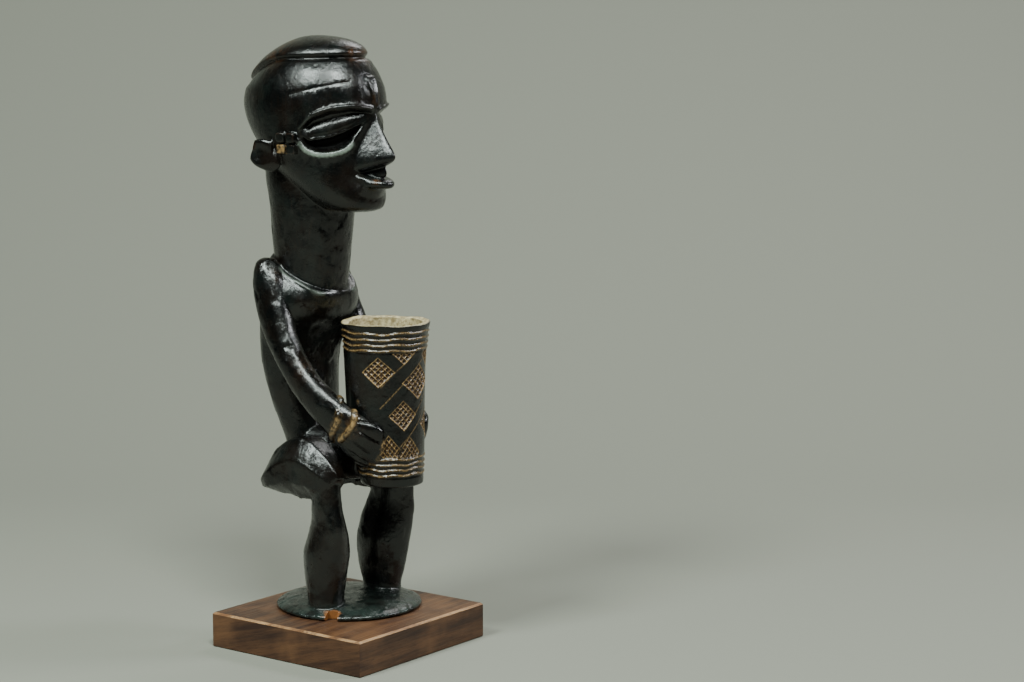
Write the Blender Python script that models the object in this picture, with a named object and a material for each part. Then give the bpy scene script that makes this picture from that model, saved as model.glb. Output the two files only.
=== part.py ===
"""Cup bearer: a standing hardwood figure that holds a tall cup, on a square hardwood plinth.

Units are metres, +Z is up and the figure faces -Y. The origin is the centre of the plinth's underside.
The figure, its cup and the round base under its feet are carved from one block, so they are one solid.
"""

import math

import bmesh
import bpy
import numpy as np
from mathutils import Vector

# Sizes that are set by themselves, in metres.
FIGURE_HEIGHT = 0.355
PLINTH_SIDE = 0.120
PLINTH_HEIGHT = 0.0214
PLINTH_CHAMFER = 0.0012
SEAT_GAP = 0.0003
CUP_WALL = 0.0042
CUP_FLOOR = 0.014

# The free forms are written in 355ths of the figure's height, so a unit is a millimetre on this figure.
UNIT = FIGURE_HEIGHT / 355
# Where the middle of the round base stands on the plinth, from the plinth's middle.
STAND = (0.0063, 0.0049)

# Sizes of the working mesh, in units of the figure.
VOXEL = 0.95
SOFTEN_PASSES = 2
FIGURE_TRIANGLES = 9200

# Stations of the upright forms, from one end to the other: height, the middle's y, the half width,
# the half depth and the lean in degrees, front down. The figure's middle plane is x = 0.
HEAD = (
    (248.3, -9.5, 11.0, 10.0, 0.0),
    (250.5, -6.5, 18.5, 17.5, 0.0),
    (256.0, -1.5, 24.0, 23.5, 0.0),
    (264.0, 5.0, 28.5, 28.0, 0.0),
    (274.0, 12.5, 32.0, 33.5, 0.0),
    (284.0, 17.5, 34.0, 38.5, 0.0),
    (294.0, 21.5, 35.5, 43.5, 0.0),
    (304.0, 23.5, 36.4, 47.3, 0.0),
    (313.6, 24.2, 36.8, 49.0, 0.0),
    (323.0, 23.8, 35.9, 47.2, 0.0),
    (332.0, 22.7, 32.8, 42.0, 0.0),
    (337.0, 22.7, 30.0, 38.6, 0.0),
    (340.0, 22.5, 27.0, 35.2, -1.0),
    (342.0, 22.5, 20.0, 27.0, -1.0),
)
CAP = (
    (335.0, 24.5, 20.0, 28.0, -1.0),
    (340.3, 24.8, 25.0, 34.0, -1.0),
    (342.6, 25.0, 27.2, 37.0, -1.5),
    (344.4, 25.0, 27.0, 36.8, -2.0),
    (348.0, 24.2, 23.8, 32.8, -2.0),
    (351.6, 23.4, 17.5, 24.5, -2.0),
    (354.0, 22.5, 10.0, 14.0, -1.0),
    (355.0, 22.5, 3.0, 4.5, 0.0),
)
NOSE = (
    (311.0, -15.0, 2.6, 9.0, 0.0),
    (305.0, -15.0, 4.4, 11.0, 0.0),
    (297.5, -15.0, 7.4, 14.9, -3.0),
    (288.0, -15.0, 10.8, 19.9, -8.0),
    (280.5, -15.0, 13.0, 24.0, -12.0),
    (276.0, -15.0, 13.4, 25.6, -14.0),
    (273.5, -15.0, 12.6, 23.6, -15.0),
    (272.0, -15.0, 10.5, 18.0, -16.0),
)
UPPER_LIP = (
    (282.0, -14.0, 3.6, 15.0, 0.0),
    (276.0, -14.0, 4.6, 18.4, 0.0),
    (273.4, -14.0, 6.4, 19.2, 6.0),
    (272.0, -14.0, 7.4, 17.5, 8.0),
)
LOWER_LIP = (
    (272.6, -14.0, 11.8, 13.0, 13.0),
    (272.0, -14.0, 13.0, 19.6, 13.0),
    (270.4, -14.0, 13.2, 22.0, 12.0),
    (267.2, -14.0, 12.8, 21.6, 9.0),
    (264.2, -13.0, 15.0, 17.2, 5.0),
    (258.0, -9.0, 19.0, 17.0, 0.0),
    (251.0, -7.0, 14.5, 14.5, 0.0),
)
NECK = (
    (186.0, 27.0, 20.0, 20.0, 0.0),
    (210.0, 27.5, 23.0, 22.8, 0.0),
    (230.0, 27.5, 25.0, 24.8, 0.0),
    (250.0, 27.0, 26.5, 26.5, 0.0),
    (268.0, 28.5, 27.0, 28.5, 0.0),
    (284.0, 30.0, 25.0, 28.0, 0.0),
)
TORSO = (
    (78.0, 12.0, 20.0, 16.0, 0.0),
    (86.0, 17.0, 22.0, 19.0, 0.0),
    (96.0, 23.5, 20.5, 17.0, 0.0),
    (104.0, 28.0, 19.5, 14.8, 0.0),
    (115.0, 31.6, 22.0, 14.6, 0.0),
    (128.0, 34.6, 25.5, 14.8, 0.0),
    (140.0, 36.8, 27.8, 15.4, 0.0),
    (152.0, 38.2, 29.6, 16.4, 0.0),
    (165.0, 37.6, 31.2, 18.2, 5.0),
    (178.0, 34.8, 33.2, 20.3, 13.0),
    (190.0, 30.5, 34.4, 23.3, 21.0),
    (200.0, 28.2, 33.2, 25.2, 27.0),
    (207.0, 27.6, 29.6, 25.8, 28.0),
    (209.6, 27.6, 27.2, 25.0, 28.0),
)
# Limb stations: the middle's x, y, z, then the half size sideways and the half size across the limb.
# They are those of the figure's right side, and the left side is their mirror image.
ARM = (
    (-27.0, 41.5, 217.5, 4.0, 3.5),
    (-28.5, 40.0, 213.0, 8.0, 7.5),
    (-30.0, 36.5, 203.0, 9.0, 11.0),
    (-31.5, 32.0, 189.5, 9.0, 11.5),
    (-33.5, 25.0, 174.0, 8.7, 10.2),
    (-34.8, 15.5, 159.0, 8.4, 9.3),
    (-34.5, 4.5, 145.0, 8.3, 9.5),
    (-33.0, -6.5, 134.0, 8.0, 10.4),
    (-30.5, -16.5, 125.0, 7.6, 11.6),
    (-27.6, -26.0, 117.0, 6.4, 13.2),
    (-24.2, -34.2, 110.0, 5.2, 15.0),
    (-19.8, -39.8, 106.5, 4.4, 13.0),
    (-16.6, -42.8, 105.5, 3.0, 9.0),
)
THIGH = (
    (-25.5, 41.6, 77.6, 6.0, 2.6),
    (-26.0, 39.4, 78.6, 9.6, 5.0),
    (-26.5, 35.4, 80.8, 12.6, 8.0),
    (-27.0, 29.0, 84.0, 14.0, 12.2),
    (-27.0, 21.0, 87.8, 14.2, 16.4),
    (-27.0, 11.0, 90.4, 13.8, 19.2),
    (-27.4, 2.0, 88.4, 13.4, 17.6),
    (-29.0, -6.0, 85.6, 11.2, 14.8),
    (-30.0, -11.0, 83.0, 8.8, 12.0),
    (-30.6, -15.0, 80.0, 5.8, 9.2),
)
# The flats round the thigh: shares of its half size sideways, outer side first, and of that across it.
THIGH_FLATS = (
    (-1.0, -0.4),
    (-0.4, -1.0),
    (0.6, -1.0),
    (1.0, -0.5),
    (1.0, 0.5),
    (0.5, 1.0),
    (-0.45, 1.0),
    (-1.0, 0.35),
)
EAR = (
    (-32.0, 25.5, 283.0, 1.6, 5.0),
    (-34.2, 28.5, 282.0, 2.6, 9.4),
    (-36.2, 33.0, 283.0, 3.0, 9.4),
    (-37.4, 37.8, 284.4, 2.8, 8.6),
    (-38.0, 41.6, 285.6, 1.9, 6.6),
)
# The hollow of the ear: its middle's y and z, its half sizes and its depth.
EAR_HOLLOW = (36.4, 283.8, 5.6, 7.2, 3.0)
# How much the cap and the head's upper edge hang lower at the back, and where that starts.
SAG = 14.0
SAG_PUSH = 0.62
SAG_FROM = (322.0, 22.0)
SHIN_TURN = 22.0
# The shin: height, the middle's x and y, then the half depth and the half width before it turns outwards.
SHIN = (
    (92.0, -29.0, -5.0, 8.6, 5.6),
    (83.0, -29.0, -7.2, 12.0, 7.6),
    (74.0, -29.0, -7.4, 13.6, 8.1),
    (66.0, -29.0, -7.7, 14.9, 8.4),
    (58.0, -28.6, -8.3, 16.6, 9.2),
    (50.0, -27.8, -7.4, 17.4, 11.4),
    (39.0, -27.2, -5.4, 17.5, 14.0),
    (28.0, -27.0, -4.6, 16.4, 13.2),
    (18.0, -27.0, -4.3, 14.4, 12.1),
    (10.0, -27.0, -4.2, 12.4, 11.3),
    (2.0, -27.0, -4.2, 12.6, 11.6),
)
# How far forward the left shin stands of where the right one's mirror image would: height and step.
LEFT_SHIN_FORWARD = ((54.0, 0.0), (66.0, 2.8), (76.0, 5.4), (88.0, 7.0))
LAP = (
    (24.0, 98.0, 20.0, 16.0),
    (6.0, 97.0, 18.0, 16.5),
    (-8.0, 97.0, 15.0, 15.5),
    (-17.0, 97.0, 12.0, 14.0),
)
# The round base: height and radius up its edge.
BASE = ((0.0, 44.2), (1.2, 45.6), (2.6, 45.0), (4.2, 41.5), (5.8, 35.0), (7.2, 26.0), (7.8, 12.0))
# The broken notch in the base's rim: its middle on the rim, the width and how far it reaches in.
NOTCH_AT = (-40.0, -19.9)
NOTCH_WIDTH = 8.0
NOTCH_REACH = 7.0
# The cup: height, the middle's y and the radius.
CUP = (
    (82.0, -35.7, 19.1),
    (95.0, -34.3, 20.8),
    (110.0, -32.6, 22.6),
    (130.0, -30.8, 24.0),
    (150.0, -30.6, 24.7),
    (165.0, -30.8, 25.5),
    (177.5, -31.2, 26.7),
    (182.5, -31.3, 27.6),
)
# The raised scar blocks on the temple: two across and two up, then the half sizes.
SCARS_Y = (11.6, 19.6)
SCARS_Z = (286.8, 293.8)
SCAR_HALF = (3.2, 3.3, 2.9)
# Borders of the eye by the angle round the head from the front, in degrees, against height.
EYE_AXIS_Y = 14.0
EYE_LOW = (
    (3.0, 306.5),
    (12.9, 301.5),
    (18.8, 296.8),
    (24.0, 292.0),
    (30.5, 288.6),
    (41.5, 286.3),
    (52.0, 285.6),
    (61.0, 286.0),
    (71.4, 288.4),
    (79.0, 295.0),
)
EYE_SLIT = ((3.0, 306.5), (13.9, 302.0), (31.2, 297.0), (46.9, 293.8), (69.4, 291.8), (79.0, 295.2))
EYE_TOP = ((3.0, 308.5), (25.2, 311.0), (46.8, 309.5), (65.6, 305.4), (77.5, 299.0), (79.0, 296.5))
SOCKET_DEPTH = 4.2
LENS_RISE = 3.4
# Lines of relief on the right side: points along them, the half width and the height, negative for a groove.
BROW = (
    (-34.2, 7.0, 299.5),
    (-31.9, -0.5, 307.2),
    (-26.0, -10.5, 311.6),
    (-15.8, -19.8, 313.0),
    (-3.0, -24.6, 311.0),
)
LOW_RIM = (
    (-33.7, 9.0, 291.8),
    (-32.0, 3.2, 285.8),
    (-29.2, -3.0, 283.7),
    (-26.3, -7.5, 283.5),
    (-22.7, -11.7, 284.2),
    (-17.6, -15.9, 286.3),
    (-13.8, -18.3, 290.0),
)
HAIRLINE = (
    (-35.0, 16.0, 318.6),
    (-34.0, 9.2, 320.8),
    (-28.0, -3.8, 324.2),
    (-16.3, -15.6, 327.0),
    (0.0, -21.0, 328.8),
)
BRACELET_UP = ((-28.5, -19.0, 137.0), (-36.6, -23.8, 124.8), (-36.4, -19.4, 116.9), (-31.0, -15.0, 111.0))
BRACELET_LOW = ((-26.0, -29.0, 134.5), (-32.6, -33.1, 124.6), (-34.4, -29.7, 117.8), (-34.2, -23.1, 111.5))
THUMB = ((-31.5, -36.0, 124.5), (-26.5, -40.5, 124.0), (-20.0, -45.5, 123.0))
# The edge of the shoulders round the foot of the neck.
NECKLINE = (
    (-24.0, 41.0, 215.5),
    (-26.4, 34.0, 213.3),
    (-26.4, 22.1, 207.7),
    (-20.5, 11.2, 199.5),
    (-14.6, 6.5, 197.5),
    (-7.8, 3.6, 200.0),
    (0.0, 2.6, 200.8),
)
RELIEF = (
    (BROW, 1.9, 1.2),
    (LOW_RIM, 1.8, 1.1),
    (HAIRLINE, 1.3, -0.9),
    (BRACELET_UP, 1.7, 1.2),
    (BRACELET_LOW, 1.7, 1.2),
    (THUMB, 1.2, -0.9),
    (NECKLINE, 2.2, 0.9),
)


def clear_scene():
    for old in list(bpy.data.objects):
        bpy.data.objects.remove(old, do_unlink=True)


def material(name, colour, roughness):
    made = bpy.data.materials.new(name)
    made.use_nodes = True
    shader = made.node_tree.nodes["Principled BSDF"]
    shader.inputs["Base Color"].default_value = (*colour, 1.0)
    shader.inputs["Roughness"].default_value = roughness
    shader.inputs["Metallic"].default_value = 0.0
    made.diffuse_color = (*colour, 1.0)
    return made


def smooth_stations(stations, steps):
    """More stations along a smooth curve through the given ones."""
    table = np.array(stations, float)
    ends = [2 * table[0] - table[1], *table, 2 * table[-1] - table[-2]]
    found = []
    for i in range(1, len(ends) - 2):
        before, here, there, after = ends[i - 1 : i + 3]
        for step in range(steps):
            t = step / steps
            found.append(
                0.5
                * (
                    2 * here
                    + (there - before) * t
                    + (2 * before - 5 * here + 4 * there - after) * t**2
                    + (3 * here - before - 3 * there + after) * t**3
                )
            )
    return np.array([*found, table[-1]])


def ring(middle, side, across, corner, count):
    """Points round a superellipse whose half axes are the vectors side and across."""
    angles = np.linspace(0, 2 * math.pi, count, endpoint=False)
    power = 2.0 / corner
    c, s = np.cos(angles), np.sin(angles)
    u = np.sign(c) * np.abs(c) ** power
    v = np.sign(s) * np.abs(s) ** power
    return middle + np.outer(u, side) + np.outer(v, across)


def flat_ring(middle, side, across, flats, count):
    """Points round a ring of flats, spaced evenly along its edges."""
    corners = np.array([*flats, flats[0]], float)
    runs = np.linalg.norm(np.diff(corners, axis=0), axis=1)
    reach = np.concatenate(((0.0,), np.cumsum(runs)))
    at = np.linspace(0, reach[-1], count, endpoint=False)
    u, v = np.interp(at, reach, corners[:, 0]), np.interp(at, reach, corners[:, 1])
    return middle + np.outer(u, side) + np.outer(v, across)


def skin(shape, rings):
    """A closed tube through rings of points."""
    loops = [[shape.verts.new(Vector(p) * UNIT) for p in points] for points in rings]
    count = len(loops[0])
    for low, high in zip(loops, loops[1:]):
        for i in range(count):
            j = (i + 1) % count
            shape.faces.new((low[i], low[j], high[j], high[i]))
    shape.faces.new(loops[0][::-1])
    shape.faces.new(loops[-1])


def sagged(points):
    """Points of the head, with those near the top lowered and set back towards the nape."""
    low, front = SAG_FROM
    high = np.clip((points[:, 2] - low) / 18, 0, 1)
    back = np.clip((points[:, 1] - front) / 38, 0, 1.2)
    drop = SAG * high * back**2
    points[:, 1] += SAG_PUSH * drop
    points[:, 2] -= drop
    return points


def upright(shape, stations, corner=2.0, count=48, steps=4):
    """A form whose rings lie level, or lean by the fifth number in degrees, front down."""
    rings = []
    for z, y, width, depth, *lean in smooth_stations(stations, steps):
        angle = math.radians(lean[0]) if lean else 0.0
        across = np.array((0.0, math.cos(angle), math.sin(angle))) * depth
        rings.append(sagged(ring(np.array((0.0, y, z)), np.array((width, 0.0, 0.0)), across, corner, count)))
    skin(shape, rings)


def limb(shape, stations, mirror, corner=2.0, flats=None, count=32, steps=4):
    """A form along a curve: its rings stand square to the curve, with one axis kept sideways."""
    table = smooth_stations(stations, steps)
    middles = table[:, :3].copy()
    middles[:, 0] *= mirror
    tangents = np.gradient(middles, axis=0)
    rings = []
    for middle, tangent, (half_side, half_across) in zip(middles, tangents, table[:, 3:5]):
        tangent = tangent / np.linalg.norm(tangent)
        side = np.array((1.0, 0.0, 0.0)) - tangent[0] * tangent
        side /= np.linalg.norm(side)
        across = np.cross(tangent, side)
        if flats:
            turned = [(u * mirror, v) for u, v in flats]
            rings.append(flat_ring(middle, side * half_side, across * half_across, turned, count))
        else:
            rings.append(ring(middle, side * half_side, across * half_across, corner, count))
    skin(shape, rings)


def shin(shape, mirror):
    turn = math.radians(SHIN_TURN) * mirror
    forward = np.array((-math.sin(turn), -math.cos(turn), 0.0))
    sideways = np.array((math.cos(turn), -math.sin(turn), 0.0))
    rings = []
    for z, x, y, depth, width in smooth_stations(SHIN, 4):
        if mirror < 0:
            y -= np.interp(z, *np.array(LEFT_SHIN_FORWARD).T)
        rings.append(ring(np.array((x * mirror, y, z)), sideways * width, forward * depth, 1.8, 32))
    skin(shape, rings)


def disc(shape):
    rings = []
    for z, radius in BASE:
        rings.append(ring(np.array((0.0, 0.0, z)), np.array((radius, 0, 0)), np.array((0, radius, 0)), 2.0, 64))
    skin(shape, rings)


def cup(shape):
    rings = []
    for z, y, radius in smooth_stations(CUP, 2):
        rings.append(ring(np.array((0.0, y, z)), np.array((radius, 0, 0)), np.array((0, radius, 0)), 2.0, 64))
    skin(shape, rings)


def scars(shape, mirror):
    half_x, half_y, half_z = SCAR_HALF
    for y in SCARS_Y:
        for z in SCARS_Z:
            across = np.array((0.0, half_y, 0.0))
            upward = np.array((0.0, 0.0, half_z))
            x = -34.2 - 0.12 * (z - SCARS_Z[0])
            skin(
                shape,
                [ring(np.array((mirror * (x + step), y, z)), across, upward, 6.0, 16) for step in (half_x, -half_x)],
            )


def carved_block():
    """All the forms of the carving in one mesh, each a closed shell that runs into its neighbours."""
    shape = bmesh.new()
    upright(shape, HEAD)
    upright(shape, CAP)
    upright(shape, NOSE, corner=1.35)
    upright(shape, UPPER_LIP, corner=1.4)
    upright(shape, LOWER_LIP, corner=1.7)
    upright(shape, NECK)
    upright(shape, TORSO, corner=2.3)
    for mirror in (1, -1):
        limb(shape, ARM, mirror, corner=2.2)
        limb(shape, THIGH, mirror, flats=THIGH_FLATS, count=48)
        limb(shape, EAR, mirror)
        shin(shape, mirror)
        scars(shape, mirror)
    rings = [
        ring(np.array((0.0, y, z)), np.array((half_x, 0, 0)), np.array((0, 0, half_z)), 2.8, 32)
        for y, z, half_x, half_z in LAP
    ]
    skin(shape, rings)
    disc(shape)
    cup(shape)
    bmesh.ops.recalc_face_normals(shape, faces=shape.faces)
    mesh = bpy.data.meshes.new("figure")
    shape.to_mesh(mesh)
    shape.free()
    return mesh


def distance_to_line(points, line):
    """How far each point is from a line of straight runs."""
    nearest = np.full(len(points), 1e9)
    for start, end in zip(line, line[1:]):
        run = end - start
        along = np.clip((points - start) @ run / (run @ run), 0, 1)
        nearest = np.minimum(nearest, np.linalg.norm(points - start - along[:, None] * run, axis=1))
    return nearest


def relief(points):
    """How far the surface is pushed out at each point, in units of the figure."""
    right = points.copy()
    right[:, 0] = -np.abs(right[:, 0])
    height = np.zeros(len(points))
    for line, half_width, rise in RELIEF:
        near = distance_to_line(right, smooth_stations(line, 5)) / half_width
        height += rise * np.clip(1 - near**2, 0, 1)
    angle = np.degrees(np.arctan2(-right[:, 0], EYE_AXIS_Y - right[:, 1]))
    low, slit, top = (np.interp(angle, *np.array(border).T) for border in (EYE_LOW, EYE_SLIT, EYE_TOP))
    z = right[:, 2]
    open_height = np.maximum(top - low, 0.5)
    share = (z - low) / open_height
    inside = (share > 0) & (share < 1) & (angle > 3) & (angle < 79) & (right[:, 1] < EYE_AXIS_Y)
    walls = np.minimum(np.clip(share / 0.12, 0, 1), np.clip((1 - share) / 0.12, 0, 1))
    narrow = np.clip(open_height / 14, 0, 1)
    lens = np.clip(1 - ((z - slit - 0.22 * open_height) / (0.26 * open_height)) ** 2, 0, 1) ** 0.7
    height += np.where(inside, narrow * (LENS_RISE * lens - SOCKET_DEPTH * walls), 0)
    middle_y, middle_z, half_y, half_z, depth = EAR_HOLLOW
    hollow = 1 - ((right[:, 1] - middle_y) / half_y) ** 2 - ((z - middle_z) / half_z) ** 2
    height -= np.where(right[:, 0] < -33.5, depth * np.clip(1.6 * hollow, 0, 1), 0)
    return height


def carve(body):
    """Cuts the face, the hairline, the bracelets and the thumb into the softened block."""
    mesh = body.data
    count = len(mesh.vertices)
    points = np.empty(count * 3)
    mesh.vertices.foreach_get("co", points)
    points = points.reshape(-1, 3)
    normals = np.empty(count * 3)
    mesh.vertex_normals.foreach_get("vector", normals)
    normals = normals.reshape(-1, 3)
    points += normals * relief(points / UNIT)[:, None] * UNIT
    mesh.vertices.foreach_set("co", points.ravel())
    mesh.update()


def cutter_from(name, shape):
    bmesh.ops.recalc_face_normals(shape, faces=shape.faces)
    mesh = bpy.data.meshes.new(name)
    shape.to_mesh(mesh)
    shape.free()
    cutter = bpy.data.objects.new(name, mesh)
    bpy.context.collection.objects.link(cutter)
    cutter.location = (STAND[0], STAND[1], PLINTH_HEIGHT + SEAT_GAP)
    cutter.hide_render = True
    cutter.display_type = "WIRE"
    return cutter


def cup_cavity():
    """What is hollowed out of the cup: a tapered bore with a closed floor, open at the rim."""
    heights, middles, radii = np.array(CUP).T
    floor = CUP[0][0] + CUP_FLOOR / UNIT
    rings = []
    for z in (floor, CUP[-1][0], CUP[-1][0] + 10):
        y = np.interp(z, heights, middles)
        radius = np.interp(min(z, CUP[-1][0] - 5), heights, radii) - CUP_WALL / UNIT
        rings.append(ring(np.array((0.0, y, z)), np.array((radius, 0, 0)), np.array((0, radius, 0)), 2.0, 40))
    shape = bmesh.new()
    skin(shape, rings)
    return cutter_from("cup_cavity", shape)


def rim_notch():
    """The piece broken out of the round base's rim."""
    out = np.array((*NOTCH_AT, 0.0))
    out /= np.linalg.norm(out)
    along = np.array((-out[1], out[0], 0.0)) * NOTCH_WIDTH / 2
    rim = BASE[1][1]
    shape = bmesh.new()
    rings = []
    for z in (-5.0, 12.0):
        corners = []
        for reach, side in ((rim - NOTCH_REACH, 0.8), (rim + 6, 1.1), (rim + 6, -1.1), (rim - NOTCH_REACH, -0.8)):
            corners.append(out * reach + along * side + np.array((0.0, 0.0, z)))
        rings.append(corners)
    skin(shape, rings)
    return cutter_from("rim_notch", shape)


def applied(obj):
    """The object's mesh with its modifiers applied and removed."""
    bpy.context.view_layer.update()
    seen = obj.evaluated_get(bpy.context.evaluated_depsgraph_get())
    mesh = bpy.data.meshes.new_from_object(seen)
    obj.modifiers.clear()
    old = obj.data
    obj.data = mesh
    bpy.data.meshes.remove(old)
    return obj


def figure(wood):
    body = bpy.data.objects.new("figure", carved_block())
    bpy.context.collection.objects.link(body)
    body.location = (STAND[0], STAND[1], PLINTH_HEIGHT + SEAT_GAP)
    blend = body.modifiers.new("blend", "REMESH")
    blend.mode = "VOXEL"
    blend.voxel_size = VOXEL * UNIT
    soften = body.modifiers.new("soften", "SMOOTH")
    soften.factor = 0.5
    soften.iterations = SOFTEN_PASSES
    applied(body)
    carve(body)
    thin = body.modifiers.new("thin", "DECIMATE")
    thin.ratio = FIGURE_TRIANGLES / sum(len(p.vertices) - 2 for p in body.data.polygons)
    for cutter in (cup_cavity(), rim_notch()):
        cut = body.modifiers.new(cutter.name, "BOOLEAN")
        cut.operation = "DIFFERENCE"
        cut.solver = "EXACT"
        cut.object = cutter
    body.data.materials.append(wood)
    return body


def plinth(wood):
    half = PLINTH_SIDE / 2
    shape = bmesh.new()
    bmesh.ops.create_cube(shape, size=1.0)
    bmesh.ops.scale(shape, vec=(PLINTH_SIDE, PLINTH_SIDE, PLINTH_HEIGHT), verts=shape.verts)
    bmesh.ops.translate(shape, vec=(0, 0, PLINTH_HEIGHT / 2), verts=shape.verts)
    top = [e for e in shape.edges if all(v.co.z > PLINTH_HEIGHT / 2 for v in e.verts)]
    bmesh.ops.bevel(shape, geom=top, offset=PLINTH_CHAMFER, segments=1, affect="EDGES")
    mesh = bpy.data.meshes.new("plinth")
    shape.to_mesh(mesh)
    shape.free()
    block = bpy.data.objects.new("plinth", mesh)
    bpy.context.collection.objects.link(block)
    block.data.materials.append(wood)
    return block


def main():
    clear_scene()
    plinth(material("plinth_hardwood", (0.20, 0.075, 0.03), 0.5))
    figure(material("blackened_wood", (0.02, 0.02, 0.018), 0.35))


main()
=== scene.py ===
import math

import bmesh
import bpy
import numpy as np
from mathutils import Matrix, Vector


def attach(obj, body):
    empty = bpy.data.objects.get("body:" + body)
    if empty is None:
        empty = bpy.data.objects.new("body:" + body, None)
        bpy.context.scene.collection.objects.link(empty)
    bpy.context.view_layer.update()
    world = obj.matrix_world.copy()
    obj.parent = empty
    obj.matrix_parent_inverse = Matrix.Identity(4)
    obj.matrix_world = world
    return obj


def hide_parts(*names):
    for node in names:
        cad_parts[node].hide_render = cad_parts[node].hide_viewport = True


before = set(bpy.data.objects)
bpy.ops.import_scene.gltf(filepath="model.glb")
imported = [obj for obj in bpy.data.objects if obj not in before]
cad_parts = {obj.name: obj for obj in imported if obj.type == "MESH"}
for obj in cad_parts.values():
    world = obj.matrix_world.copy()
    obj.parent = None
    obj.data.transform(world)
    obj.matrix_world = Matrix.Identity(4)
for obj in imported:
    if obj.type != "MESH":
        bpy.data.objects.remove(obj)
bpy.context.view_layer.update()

# The cup bearer, in metres: +Z up, the figure faces -Y, the origin is the centre of the plinth's underside.
FIGURE_HEIGHT = 0.355
PLINTH_SIDE = 0.120
PLINTH_HEIGHT = 0.0214
PLINTH_CHAMFER = 0.0012
SEAT_GAP = 0.0003
CUP_WALL = 0.0042
CUP_FLOOR = 0.014
UNIT = FIGURE_HEIGHT / 355
STAND = (0.0063, 0.0049)
SEAT = Vector((STAND[0], STAND[1], PLINTH_HEIGHT + SEAT_GAP))

# The body's working mesh, in units of the figure, the triangles it keeps, and the grid of the cup's wall.
BODY_VOXEL = 0.55
BODY_TRIANGLES = 84000
CUP_AROUND = 290
CUP_UP = 165

# Stations of the upright forms, from one end to the other: height, the middle's y, the half width,
# the half depth and the lean in degrees, front down. The figure's middle plane is x = 0.
HEAD = (
    (248.3, -9.5, 11.0, 10.0, 0.0),
    (250.5, -6.5, 18.5, 17.5, 0.0),
    (256.0, -1.5, 24.0, 23.5, 0.0),
    (264.0, 5.0, 28.5, 28.0, 0.0),
    (274.0, 12.5, 32.0, 33.5, 0.0),
    (284.0, 17.5, 34.0, 38.5, 0.0),
    (294.0, 21.5, 35.5, 43.5, 0.0),
    (304.0, 23.5, 36.4, 47.3, 0.0),
    (313.6, 24.2, 36.8, 49.0, 0.0),
    (323.0, 23.8, 35.9, 47.2, 0.0),
    (332.0, 22.7, 32.8, 42.0, 0.0),
    (337.0, 22.7, 30.0, 38.6, 0.0),
    (340.0, 22.5, 27.0, 35.2, -1.0),
    (342.0, 22.5, 20.0, 27.0, -1.0),
)
CAP = (
    (335.0, 24.5, 20.0, 28.0, -1.0),
    (340.3, 24.8, 25.0, 34.0, -1.0),
    (342.6, 25.0, 27.2, 37.0, -1.5),
    (344.4, 25.0, 27.0, 36.8, -2.0),
    (348.0, 24.2, 23.8, 32.8, -2.0),
    (351.6, 23.4, 17.5, 24.5, -2.0),
    (354.0, 22.5, 10.0, 14.0, -1.0),
    (355.0, 22.5, 3.0, 4.5, 0.0),
)
NOSE = (
    (311.0, -15.0, 2.6, 9.0, 0.0),
    (305.0, -15.0, 4.4, 11.0, 0.0),
    (297.5, -15.0, 7.4, 14.9, -3.0),
    (288.0, -15.0, 10.8, 19.9, -8.0),
    (280.5, -15.0, 13.0, 24.0, -12.0),
    (276.0, -15.0, 13.4, 25.6, -14.0),
    (273.5, -15.0, 12.6, 23.6, -15.0),
    (272.0, -15.0, 10.5, 18.0, -16.0),
)
UPPER_LIP = (
    (282.0, -14.0, 3.6, 15.0, 0.0),
    (276.0, -14.0, 4.6, 18.4, 0.0),
    (273.4, -14.0, 6.4, 19.2, 6.0),
    (272.0, -14.0, 7.4, 17.5, 8.0),
)
LOWER_LIP = (
    (272.6, -14.0, 11.8, 13.0, 13.0),
    (272.0, -14.0, 13.0, 19.6, 13.0),
    (270.4, -14.0, 13.2, 22.0, 12.0),
    (267.2, -14.0, 12.8, 21.6, 9.0),
    (264.2, -13.0, 15.0, 17.2, 5.0),
    (258.0, -9.0, 19.0, 17.0, 0.0),
    (251.0, -7.0, 14.5, 14.5, 0.0),
)
NECK = (
    (186.0, 27.0, 20.0, 20.0, 0.0),
    (210.0, 27.5, 23.0, 22.8, 0.0),
    (230.0, 27.5, 25.0, 24.8, 0.0),
    (250.0, 27.0, 26.5, 26.5, 0.0),
    (268.0, 28.5, 27.0, 28.5, 0.0),
    (284.0, 30.0, 25.0, 28.0, 0.0),
)
TORSO = (
    (78.0, 12.0, 20.0, 16.0, 0.0),
    (86.0, 17.0, 22.0, 19.0, 0.0),
    (96.0, 23.5, 20.5, 17.0, 0.0),
    (104.0, 28.0, 19.5, 14.8, 0.0),
    (115.0, 31.6, 22.0, 14.6, 0.0),
    (128.0, 34.6, 25.5, 14.8, 0.0),
    (140.0, 36.8, 27.8, 15.4, 0.0),
    (152.0, 38.2, 29.6, 16.4, 0.0),
    (165.0, 37.6, 31.2, 18.2, 5.0),
    (178.0, 34.8, 33.2, 20.3, 13.0),
    (190.0, 30.5, 34.4, 23.3, 21.0),
    (200.0, 28.2, 33.2, 25.2, 27.0),
    (207.0, 27.6, 29.6, 25.8, 28.0),
    (209.6, 27.6, 27.2, 25.0, 28.0),
)
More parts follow.
